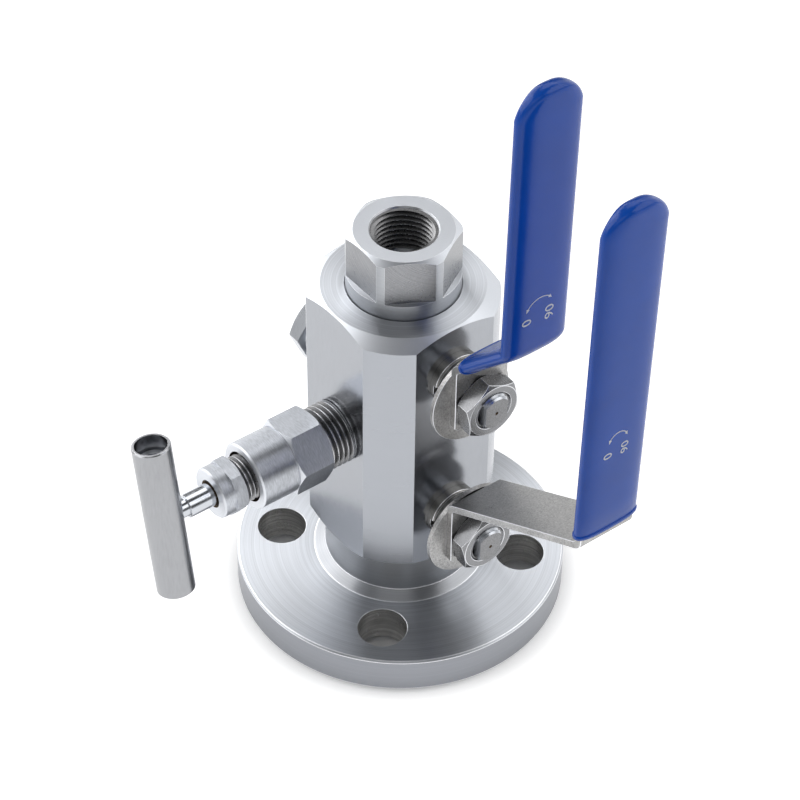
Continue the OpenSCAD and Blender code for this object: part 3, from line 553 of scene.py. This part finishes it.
# Painted shade: the hex flats, the countersink and the round sides get darker steel than the faced top.
count = paint_faces(end, shaded_hex_milled,
                    lambda c, n: is_side(n, 0.02) and valve_r(c) > end_flat_r and
                    abs(c.x * n.x + c.y * n.y - end_flat) < 0.05)
print("end faces milled:", count)
paint_faces(end, faced_steel, lambda c, n: c.z > rim_low and n.z > 0.2 and valve_r(c) > rim_in)
paint_faces(end, faced_steel, lambda c, n: c.z > end_top - 0.1 and n.z > 0.99)
paint_faces(end, shaded_hub_turned, lambda c, n: c.z > countersink_low and is_cone(n) and valve_r(c) < countersink_r)
paint_faces(end, shaded_side_turned, lambda c, n: is_side(n) and valve_r(c) > end_round_r)

# %% [markdown]
# A thread is one ridge that climbs round a rod. A line with the ridge's shape is drawn by extruding a single
# point, a Screw modifier winds it up by its own height each turn, and two bisects cut the rod to length and
# close it. Rings would be simpler, but on a pipe thread this coarse the slope of the ridge shows.


# %% Threads
def drawn_line(name, points_mm):
    """A line drawn by extruding one point from place to place."""
    bpy.ops.object.select_all(action="DESELECT")
    bpy.ops.mesh.primitive_plane_add(size=MM)
    line = bpy.context.active_object
    line.name = name
    bpy.ops.object.mode_set(mode="EDIT")
    bpy.ops.mesh.select_mode(type="VERT")
    bpy.ops.mesh.select_all(action="SELECT")
    bpy.ops.mesh.merge(type="CENTER")
    places = [Vector(point) * MM for point in points_mm]
    bpy.ops.transform.translate(value=places[0])
    for here, there in zip(places, places[1:]):
        bpy.ops.mesh.extrude_vertices_move(TRANSFORM_OT_translate={"value": there - here})
    bpy.ops.object.mode_set(mode="OBJECT")
    return line


def threaded_rod(name, crest, root, pitch, low, high, steps=72):
    """A closed rod along Z with one thread, from low to high. All sizes are in mm."""
    land = pitch / 8
    half = pitch / 2
    ridge = [(root, 0, 0), (root, 0, land), (crest, 0, half), (crest, 0, half + land), (root, 0, pitch)]
    rod = drawn_line(name, ridge)
    spare = 2
    screw = rod.modifiers.new("thread", "SCREW")
    screw.axis = "Z"
    screw.angle = 2 * pi
    screw.screw_offset = pitch * MM
    screw.iterations = int((high - low) / pitch) + 2 * spare
    screw.steps = screw.render_steps = steps
    screw.use_merge_vertices = True
    apply_all(rod)
    bpy.ops.object.mode_set(mode="EDIT")
    bpy.ops.mesh.select_all(action="SELECT")
    bpy.ops.mesh.remove_doubles(threshold=0.001 * MM)
    bpy.ops.transform.translate(value=(0, 0, (low - spare * pitch) * MM))
    for place, side in ((low, -1), (high, 1)):
        bpy.ops.mesh.select_all(action="SELECT")
        bpy.ops.mesh.bisect(plane_co=(0, 0, place * MM), plane_no=(0, 0, side), threshold=0.0001 * MM,
                            use_fill=True, clear_outer=True)
    bpy.ops.mesh.select_all(action="SELECT")
    bpy.ops.mesh.normals_make_consistent(inside=False)
    bpy.ops.object.mode_set(mode="OBJECT")
    return rod


def cylinder(name, radius, low, high, sides=96):
    """A plain round tool along Z, for cutting with. Sizes in mm."""
    bpy.ops.object.select_all(action="DESELECT")
    bpy.ops.mesh.primitive_cylinder_add(vertices=sides, radius=radius * MM, depth=(high - low) * MM,
                                        location=(0, 0, (low + high) / 2 * MM))
    made = bpy.context.active_object
    made.name = name
    bpy.ops.object.transform_apply(location=True, rotation=False, scale=False)
    return made


def cut(piece, tool):
    """Takes the shape of a tool out of a piece, and removes the tool."""
    boolean = piece.modifiers.new("cut", "BOOLEAN")
    boolean.operation = "DIFFERENCE"
    boolean.solver = "EXACT"
    boolean.object = tool
    apply_all(piece)
    bpy.data.objects.remove(tool)
    return piece


def stand(piece, spot, toward):
    """Turns a piece made along Z to another direction, and moves its origin to a spot in metres."""
    piece.rotation_mode = "QUATERNION"
    piece.rotation_quaternion = Vector(toward).to_track_quat("Z", "Y")
    piece.location = spot
    take(piece)
    bpy.ops.object.transform_apply(location=True, rotation=True, scale=False)
    return piece


def tapped_sleeve(name, wall, crest, root, pitch, low, high):
    """A thin sleeve with a thread inside. Crest and root are those of the rod that would fit it."""
    tap = threaded_rod("tap", crest, root, pitch, low - pitch, high + pitch)
    return cut(cylinder(name, wall, low, high), tap)


def thread_skin(piece, crest_steel, crest, spot, way, body):
    """Finishes a thread with painted shade in its valleys and the given steel on its crests, and sets it on
    its body.
    """
    break_edges(piece, 0.06, 1)
    paint(piece, valley_shade_steel)
    way = Vector(way)

    def is_crest(c, n):
        """Tells whether a face lies on top of the ridge and not on a cut end."""
        out = c - Vector(spot) / MM
        return abs(n.dot(way)) < 0.6 and abs((out - out.dot(way) * way).length - crest) < 0.2

    paint_faces(piece, crest_steel, is_crest)
    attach(piece, body)
    return piece


pipe_pitch = 25.4 / 14
pipe_depth = 1.25

# %% Thread of the outlet port
port_r = 10.29
port_valley = port_r - 0.05
port_crest = port_valley - pipe_depth
port_floor = end_top - 15.7
port_top = end_top - 0.5
outlet_thread = tapped_sleeve("outlet_thread", port_r, port_valley, port_crest, pipe_pitch,
                              port_floor, port_top)
thread_skin(outlet_thread, crest_highlight_steel, port_crest, (0, 0, 0), z_axis, "body")
print("outlet thread has", round((port_top - port_floor) / pipe_pitch, 1), "turns")

# %% [markdown]
# The bonnet and the plug are turned down between the body and their hexagons, and pipe threads fill that
# length. On the copies the plain shank is cut away to a thin core, and a threaded rod is set over the core.


# %% Bleed valve and plug
ring_r = 30.0
past_end = 1.0
core_gap = 0.1


def bare_shank(piece, core, low, high, spot, toward):
    """Turns a length of a piece's shank down to its core, with a ring as the tool."""
    ring = cut(cylinder("ring", ring_r, low, high), cylinder("core", core, low - past_end, high + past_end))
    return cut(piece, stand(ring, spot, toward))


def shank_thread(name, crest, core, pitch, low, high, spot, toward):
    """A threaded rod on a shank, with a hole for the shank's core."""
    rod = threaded_rod(name, crest, core + core_gap, pitch, low, high)
    cut(rod, cylinder("core", core - 4 * core_gap, low - past_end, high + past_end))
    return stand(rod, spot, toward)


# Places along the bleed axis are in mm from the valve's upright axis. A hexagon's size is from its middle to
# a flat.
bleed_z = bleed_axis.z / MM
bleed_way = (0, -1, 0)
plug_way = (-1, 0, 0)
thread_tuck = 0.2
pipe_r = 10.4
pipe_core = pipe_r - pipe_depth
shank_start = flat_side + 0.05
thread_start = flat_side - 0.6
plug_hex = 37.3
bonnet_hex = 34.0
bonnet_round = 46.7
bonnet_mouth = 59.8
bonnet_flat = 11.0
groove_r = 10.6
groove_wide = 0.4
mouth_r = 8.5
mouth_floor = 51.7


def bleed_r(c):
    """How far a place is from the bleed valve's axis."""
    return hypot(c.x, c.z - bleed_z)


def on_hex(c, n, flat):
    """Tells whether a face is one of the flats of a hexagon on the bleed axis."""
    return abs(n.y) < 0.01 and abs(c.x * n.x + (c.z - bleed_z) * n.z - flat) < 0.05


bonnet = worked_copy("bleed_bonnet")
bare_shank(bonnet, pipe_core - core_gap, shank_start, bonnet_hex, bleed_axis, bleed_way)
bare_shank(bonnet, groove_r, bonnet_round, bonnet_round + groove_wide, bleed_axis, bleed_way)
# Painted light: the bonnet gets the lighter bleed steel.
finish_piece(bonnet, 0.18, bleed_turned_painted_light, "body")
paint_faces(bonnet, bonnet_milled, lambda c, n: on_hex(c, n, bonnet_flat))
# Painted shade: dark brown inside the bonnet's mouth.
paint_faces(bonnet, hollow_shade_steel, lambda c, n: 0.5 - bonnet_mouth < c.y < -mouth_floor and bleed_r(c) < mouth_r)
bonnet_thread = shank_thread("bonnet_thread", pipe_r, pipe_core, pipe_pitch,
                             thread_start, bonnet_hex + thread_tuck, bleed_axis, bleed_way)
thread_skin(bonnet_thread, crest_highlight_steel, pipe_r, bleed_axis, bleed_way, "body")

plug = worked_copy("vent_plug")
bare_shank(plug, pipe_core - core_gap, shank_start, plug_hex, bleed_axis, plug_way)
finish_piece(plug, 0.18, plug_turned, "body")
plug_thread = shank_thread("plug_thread", pipe_r, pipe_core, pipe_pitch, thread_start, plug_hex,
                           bleed_axis, plug_way)
thread_skin(plug_thread, crest_highlight_steel, pipe_r, bleed_axis, plug_way, "body")

# %% Gland nut, stem and T-bar
gland_low = 57.0
gland_high = 63.7
gland_flat = 8.25
gland_core = 6.6
gland_r = 7.5
gland_bore = 5.5
fine_pitch = 1.5
bleed_gland = worked_copy("bleed_gland_nut")
bare_shank(bleed_gland, gland_core - core_gap, gland_low + 0.1, gland_high, bleed_axis, bleed_way)
# Painted light: the gland nut gets the lighter bleed steel.
finish_piece(bleed_gland, 0.30, bleed_turned_painted_light, "body")
paint_faces(bleed_gland, bonnet_milled, lambda c, n: on_hex(c, n, gland_flat))
# Painted shade: dark brown inside the gland nut's bore.
paint_faces(bleed_gland, hollow_shade_steel, lambda c, n: abs(n.y) < 0.9 and bleed_r(c) < gland_bore)
gland_thread = shank_thread("gland_thread", gland_r, gland_core, fine_pitch,
                            gland_low, gland_high + thread_tuck, bleed_axis, bleed_way)
thread_skin(gland_thread, crest_highlight_steel, gland_r, bleed_axis, bleed_way, "body")

dressed("bleed_stem", 0.10, stem_polished, "bleed_handle")
dressed("t_bar", 0.12, bar_brushed, "bleed_handle")
dressed("t_bar_screw", 0.10, faced_steel, "bleed_handle")

# %% [markdown]
# A nut holds each lever on its stem. A tapped sleeve, used as a tool, cuts the stem's thread, and a thinner
# sleeve stays inside the nut as its thread. The small cone in the stem's end is where the lathe's centre
# held the bar. A picture of a thread as bump would be quicker, but its outline would stay straight.

# %% Levers and their fittings
# Places along the stems are in mm from the valve's upright axis. The nut's own thread stops short of both
# its faces.
lever_way = x_axis
nut_floor = 39.0
nut_top = 45.0
nut_edge = 0.5
sleeve_r = 8
sleeve_over = 4
nut_wall = 6.06
nut_valley = 6.03
nut_crest = 5.28
stem_r = 6.0
stem_root = 5.25
stem_face = 40.0
centre_r = 0.6
centre_depth = 0.6


def centre_mark(stem, axis, face_x):
    """Sinks a small cone into a stem's end, as a lathe's centre drill does. Half of the tool stands out."""
    bpy.ops.object.select_all(action="DESELECT")
    bpy.ops.mesh.primitive_cone_add(vertices=24, radius1=0, radius2=2 * centre_r * MM,
                                    depth=2 * centre_depth * MM, location=(0, 0, face_x * MM))
    cone = bpy.context.active_object
    bpy.ops.object.transform_apply(location=True, rotation=False, scale=False)
    return cut(stem, stand(cone, axis, lever_way))


for side, axis_steel, axis in (("lower", lower_turned, lower_axis), ("upper", upper_turned, upper_axis)):
    body = side + "_valve"
    dressed(side + "_lever", 0.22, lever_tumbled, body)
    dressed(side + "_stop_disc", 0.15, lever_tumbled, body)
    dressed(side + "_lever_nut", 0.22, nut_tumbled, body)
    stem = worked_copy(side + "_stem")
    ridges = tapped_sleeve("ridges", sleeve_r, stem_r, stem_root, fine_pitch,
                           nut_floor, nut_top + sleeve_over)
    cut(stem, stand(ridges, axis, lever_way))
    centre_mark(stem, axis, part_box(side + "_stem")[1].x / MM)
    finish_piece(stem, 0.06, axis_steel, body)
    stem_z = axis.z / MM
    # Painted shade: the stem's flat end is darker than its side.
    paint_faces(stem, shaded_stem_end, lambda c, n: n.x > 0.9 and c.x > stem_face)
    # Painted shade: dark brown inside the centre mark.
    paint_faces(stem, hollow_shade_steel,
                lambda c, n: n.x < 0.9 and c.x > stem_face and hypot(c.y, c.z - stem_z) < centre_r)
    nut_thread = tapped_sleeve(side + "_nut_thread", nut_wall, nut_valley, nut_crest, fine_pitch,
                               nut_floor + nut_edge, nut_top - nut_edge)
    stand(nut_thread, axis, lever_way)
    thread_skin(nut_thread, nut_tumbled, nut_crest, axis, lever_way, body)
    dressed(side + "_gland_nut", 0.12, gland_dark, "body")
    dressed(side + "_stop_pin", 0.10, nut_tumbled, "body")

# %% [markdown]
# The handles are dipped in liquid vinyl, which sets as a soft sleeve: fullest in the middle of each face,
# thin and round at the edges, with a rolled lip at the mouth. A rounded outline is drawn once for each
# grip, then extruded along the strap, turned round its bend, and drawn in ring by ring at the tip. A voxel
# remesh of the plain sleeve was the other way, but it leaves ripples that a glossy skin shows.

# %% Path of a grip along its strap
strap_w = 19.5
strap_t = 2.5
lever_x = 36.5
bend_h = 16.3
bend_r = 3.2
grip_lean = radians(0.7)
grip_len = 118.5
vinyl_wall = 1.4
strap_end_r = strap_w / 2 + 0.45
crown_x, crown_y = 2.5, 3.4
straps = {
    "lower": (lower_axis, radians(29.6), 95.2),
    "upper": (upper_axis, radians(45), 59.4),
}


def heading(angle):
    """One millimetre along a direction in the lever's side view."""
    return Vector((cos(angle), 0, sin(angle)))


def strap_corners(axis, web, grip_x):
    """The two places where the middle lines of a strap's straight lengths would meet."""
    first = Vector((lever_x + strap_t / 2, 0, axis.z / MM + bend_h - strap_t / 2 * tan((pi / 2 - web) / 2)))
    return first, first + (grip_x - lever_x) / cos(web) * heading(web)


# %% Shaping a grip
def crowned_outline(half_t, half_w, count=44):
    """A closed outline between an ellipse and a rectangle, in the XY plane."""
    points = []
    for i in range(count):
        turn = 2 * pi * (i + 0.5) / count
        c, s = cos(turn), sin(turn)
        x = half_t * abs(c) ** (2 / crown_x) * (1 if c > 0 else -1)
        y = half_w * abs(s) ** (2 / crown_y) * (1 if s > 0 else -1)
        points.append((x, y, 0))
    return points


def select_face(piece, normal, at_mm):
    """Selects the one face that lies at a place and faces a direction."""
    bpy.ops.object.mode_set(mode="OBJECT")
    for face in piece.data.polygons:
        face.select = (face.center / MM - at_mm).length < 0.4 and abs(face.normal.dot(normal)) > 0.9
    bpy.ops.object.mode_set(mode="EDIT")


class Loft:
    """Carries one outline along a path, with its size changed from ring to ring. Angles are from level."""

    def __init__(self, name, outline, start, angle):
        self.piece = drawn_line(name, outline)
        take(self.piece)
        bpy.ops.object.mode_set(mode="EDIT")
        bpy.ops.mesh.select_all(action="SELECT")
        bpy.ops.mesh.edge_face_add()
        bpy.ops.object.mode_set(mode="OBJECT")
        self.piece.rotation_euler = (0, pi / 2 - angle, 0)
        self.piece.location = start * MM
        bpy.ops.object.transform_apply(location=True, rotation=True, scale=False)
        self.place = start.copy()
        self.angle = angle
        self.size = [1.0, 1.0]
        bpy.ops.object.mode_set(mode="EDIT")
        bpy.ops.mesh.select_mode(type="FACE")
        bpy.ops.mesh.select_all(action="SELECT")

    def resize(self, thick, wide):
        """Makes the ring at the end as thick and as wide as these shares of the first outline."""
        bpy.ops.transform.resize(value=(thick / self.size[0], wide / self.size[1], 1),
                                 center_override=self.place * MM)
        self.size = [thick, wide]

    def go(self, length, thick=None, wide=None):
        """Extrudes straight on by a length in mm."""
        step = length * heading(self.angle)
        bpy.ops.mesh.extrude_region_move(TRANSFORM_OT_translate={"value": step * MM})
        self.place += step
        if thick is not None:
            self.resize(thick, wide)

    def bend(self, to_angle, radius, steps):
        """Extrudes round a bend in equal steps, and turns the ring at the end after each."""
        turn = (to_angle - self.angle) / steps
        for _ in range(steps):
            self.angle += turn / 2
            self.go(2 * radius * sin(abs(turn) / 2))
            self.angle += turn / 2
            bpy.ops.transform.rotate(value=turn, orient_axis="Y", center_override=self.place * MM)


def tip_width(distance, half, end_r):
    """Half width of the grip at a distance from its tip."""
    return min(half, sqrt(max(0.0, end_r ** 2 - (end_r - distance) ** 2)))


def dipped_grip(side, bare, whole, from_first):
    """Lofts one grip of a whole length. bare is how far its mouth is from a corner of the strap's path."""
    web = straps[side][1]
    first, second = strap_corners(*straps[side])
    grip_way = pi / 2 - grip_lean
    half_w = strap_w / 2 + vinyl_wall
    half_t = strap_t / 2 + vinyl_wall
    end_r = strap_end_r + vinyl_wall
    start_way = web if from_first else grip_way
    start = (first if from_first else second) + bare * heading(start_way)
    loft = Loft(side + "_dipped_grip", crowned_outline(half_t, half_w), start, start_way)
    loft.resize(0.92, 0.98)
    lip = (
        (0.25, 1.05, 1.012), (0.45, 1.12, 1.025), (0.65, 1.12, 1.025), (0.20, 0.97, 0.996), (0.35, 1.0, 1.0),
    )
    for length, thick, wide in lip:
        loft.go(length, thick, wide)
    gone = sum(length for length, _, _ in lip)
    if from_first:
        trim = bend_r * tan((grip_way - web) / 2)
        web_left = (second - first).length - bare - gone - trim
        web_rings = 4
        for _ in range(web_rings):
            loft.go(web_left / web_rings)
        loft.bend(grip_way, bend_r, steps=8)
        gone += web_left + 2 * trim
    ring_count = 14
    round_l = end_r - sqrt(end_r ** 2 - half_w ** 2)
    straight = whole - gone - round_l
    for _ in range(ring_count):
        loft.go(straight / ring_count)
    tip_steps = 22
    edge_r = 2.3
    tip_left = 0.03
    for i in range(1, tip_steps + 1):
        before = round_l * cos(pi / 2 * (i - 1) / tip_steps)
        now = round_l * cos(pi / 2 * i / tip_steps)
        left = max(now, tip_left)
        thin = min(left, edge_r)
        thick = (half_t - edge_r + sqrt(edge_r ** 2 - (edge_r - thin) ** 2)) / half_t
        loft.go(before - left, thick, tip_width(left, half_w, end_r) / half_w)
    piece = loft.piece
    select_face(piece, heading(start_way), start)
    strap_room = 0.25
    pocket = 3.0
    bpy.ops.mesh.inset(thickness=(vinyl_wall - strap_room) * MM)
    bpy.ops.mesh.extrude_region_move(TRANSFORM_OT_translate={"value": pocket * heading(start_way) * MM})
    bpy.ops.mesh.select_all(action="SELECT")
    bpy.ops.mesh.normals_make_consistent(inside=False)
    bpy.ops.object.mode_set(mode="OBJECT")
    bpy.ops.object.shade_smooth_by_angle(angle=radians(50))
    paint(piece, blue_vinyl)
    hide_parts(side + "_grip")
    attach(piece, side + "_valve")
    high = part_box(side + "_grip")[1]
    top = max(v.co.z for v in piece.data.vertices)
    print(side, "grip: tip", round(top / MM, 2), "and in the CAD", round(high.z / MM, 2))


dipped_grip("lower", 3.6, grip_len + 1.2, from_first=False)
dipped_grip("upper", 5.6, grip_len, from_first=True)

# %% [markdown]
# Each grip carries a white scale of its own: 0 and 90 degrees, and a curved arrow between them. The numbers
# are text objects with a little thickness, made into meshes before they are stood on the vinyl. The arrow is
# one outline of points, filled and thickened. A print could be a texture, but a thin solid stays sharp at
# any distance. The table at the end of the cell gives each number's place sideways, its height on the valve
# and the height and length of its digits, and then the three places that the arrow runs through.

# %% Printed marks
mark_white = moulded("mark_white", (0.72, 0.74, 0.77), 0.40, 0.5, 0.001, 0.4)
mark_thick = 0.09
mark_sink = 0.03
thickest = strap_t / 2 + vinyl_wall
widest = strap_w / 2 + vinyl_wall


def on_front(second, y, z):
    """The place on a grip's front face at a sideways place and a height."""
    crown = thickest * (1 - abs(y / widest) ** crown_y) ** (1 / crown_x)
    return Vector((second.x + (z - second.z) * tan(grip_lean) + crown / cos(grip_lean), y, z))


def mark_number(name, number, second, y, z, tall, long):
    """One printed number that reads upward along the grip, with the height and length of its digits."""
    bpy.ops.object.select_all(action="DESELECT")
    bpy.ops.object.text_add()
    piece = bpy.context.active_object
    piece.name = name
    piece.data.body = number
    piece.data.align_x = "CENTER"
    piece.data.align_y = "CENTER"
    piece.data.size = 4 * MM
    piece.data.extrude = mark_thick / 2 * MM
    piece.data.resolution_u = 4
    bpy.ops.object.convert(target="MESH")
    bpy.ops.object.mode_set(mode="EDIT")
    bpy.ops.mesh.select_all(action="SELECT")
    bpy.ops.mesh.remove_doubles(threshold=0.001 * MM)
    bpy.ops.mesh.normals_make_consistent(inside=False)
    bpy.ops.object.mode_set(mode="OBJECT")
    corners = [v.co for v in piece.data.vertices]
    middle_x = (min(c.x for c in corners) + max(c.x for c in corners)) / 2
    middle_y = (min(c.y for c in corners) + max(c.y for c in corners)) / 2
    wide = max(c.x for c in corners) - min(c.x for c in corners)
    high = max(c.y for c in corners) - min(c.y for c in corners)
    bpy.ops.object.mode_set(mode="EDIT")
    bpy.ops.mesh.select_all(action="SELECT")
    bpy.ops.transform.translate(value=(-middle_x, -middle_y, (mark_thick / 2 - mark_sink) * MM))
    bpy.ops.transform.resize(value=(long * MM / wide, tall * MM / high, 1), center_override=(0, 0, 0))
    bpy.ops.object.mode_set(mode="OBJECT")
    along = Vector((sin(grip_lean), 0, cos(grip_lean)))
    outward = Vector((cos(grip_lean), 0, -sin(grip_lean)))
    place = on_front(second, y, z) * MM
    piece.matrix_world = Matrix((
        (along.x, 0, outward.x, place.x),
        (0, -1, 0, place.y),
        (along.z, 0, outward.z, place.z),
        (0, 0, 0, 1),
    ))
    take(piece)
    bpy.ops.object.transform_apply(location=True, rotation=True, scale=False)
    return piece


def mark_arrow(name, second, left, crest, right, thin=0.30, head=1.3):
    """A printed arc through three places (y, z), with an arrow head at each end."""
    (ay, az), (by, bz), (cy, cz) = left, crest, right
    twice = 2 * (ay * (bz - cz) + by * (cz - az) + cy * (az - bz))
    a_square, b_square, c_square = ay ** 2 + az ** 2, by ** 2 + bz ** 2, cy ** 2 + cz ** 2
    mid_y = (a_square * (bz - cz) + b_square * (cz - az) + c_square * (az - bz)) / twice
    mid_z = (a_square * (cy - by) + b_square * (ay - cy) + c_square * (by - ay)) / twice
    radius = hypot(ay - mid_y, az - mid_z)
    start = atan2(az - mid_z, ay - mid_y)
    end = atan2(cz - mid_z, cy - mid_y)
    if start < end:
        start += 2 * pi
    head_turn = head / radius
    steps = 16
    inner, outer = [], []
    for i in range(steps + 1):
        turn = start - head_turn + (end - start + 2 * head_turn) * i / steps
        inner.append((mid_y + (radius - thin / 2) * cos(turn), mid_z + (radius - thin / 2) * sin(turn)))
        outer.append((mid_y + (radius + thin / 2) * cos(turn), mid_z + (radius + thin / 2) * sin(turn)))

    def barb(turn, tip_turn):
        """The three corners of an arrow head."""
        wide = head * 0.42
        return [(mid_y + (radius + wide) * cos(turn), mid_z + (radius + wide) * sin(turn)),
                (mid_y + radius * cos(tip_turn), mid_z + radius * sin(tip_turn)),
                (mid_y + (radius - wide) * cos(turn), mid_z + (radius - wide) * sin(turn))]

    outline = outer + barb(end + head_turn, end) + inner[::-1] + barb(start - head_turn, start)[::-1]
    piece = drawn_line(name, [on_front(second, y, z) - Vector((mark_sink, 0, 0)) for y, z in outline])
    take(piece)
    bpy.ops.object.mode_set(mode="EDIT")
    bpy.ops.mesh.select_all(action="SELECT")
    bpy.ops.mesh.edge_face_add()
    bpy.ops.mesh.quads_convert_to_tris(quad_method="BEAUTY", ngon_method="BEAUTY")
    bpy.ops.mesh.extrude_region_move(TRANSFORM_OT_translate={"value": (mark_thick * MM, 0, 0)})
    bpy.ops.mesh.select_all(action="SELECT")
    bpy.ops.mesh.normals_make_consistent(inside=False)
    bpy.ops.object.mode_set(mode="OBJECT")
    return piece


for side, numbers, arrow in (
    ("lower",
     (("zero", "0", -3.9, 134.6, 3.0, 2.1), ("ninety", "90", 2.1, 135.0, 2.6, 4.4)),
     ((-3.8, 139.2), (-0.4, 142.2), (2.7, 139.6))),
    ("upper",
     (("zero", "0", -5.0, 158.6, 3.2, 2.3), ("ninety", "90", 3.0, 159.0, 3.0, 5.0)),
     ((-5.3, 162.2), (0.0, 166.0), (3.6, 164.2))),
):
    second = strap_corners(*straps[side])[1]
    marks = [mark_number(f"{side}_{key}_mark", number, second, *sizes) for key, number, *sizes in numbers]
    marks.append(mark_arrow(side + "_turn_arrow", second, *arrow))
    for piece in marks:
        paint(piece, mark_white)
        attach(piece, side + "_valve")

# %% [markdown]
# The nodes without a copy are mostly inside the valve, where no one sees an edge. They keep their meshes and
# get the finish that goes with their slot.

# %% Finish of the nodes that stay
plain_finish = {
    "white_ptfe": white_plastic,
    "turned_steel": bleed_turned_painted_light,
    "lever_steel": lever_tumbled,
    "body_steel": face_turned,
    "blue_vinyl": blue_vinyl,
}
# Painted light: nodes in the turned slot, or in a slot not listed, get the lighter bleed steel.
for name, node in nodes.items():
    for place, old in enumerate(node.data.materials):
        node.data.materials[place] = plain_finish.get(old.name, bleed_turned_painted_light)
print("CAD nodes painted:", len(nodes))
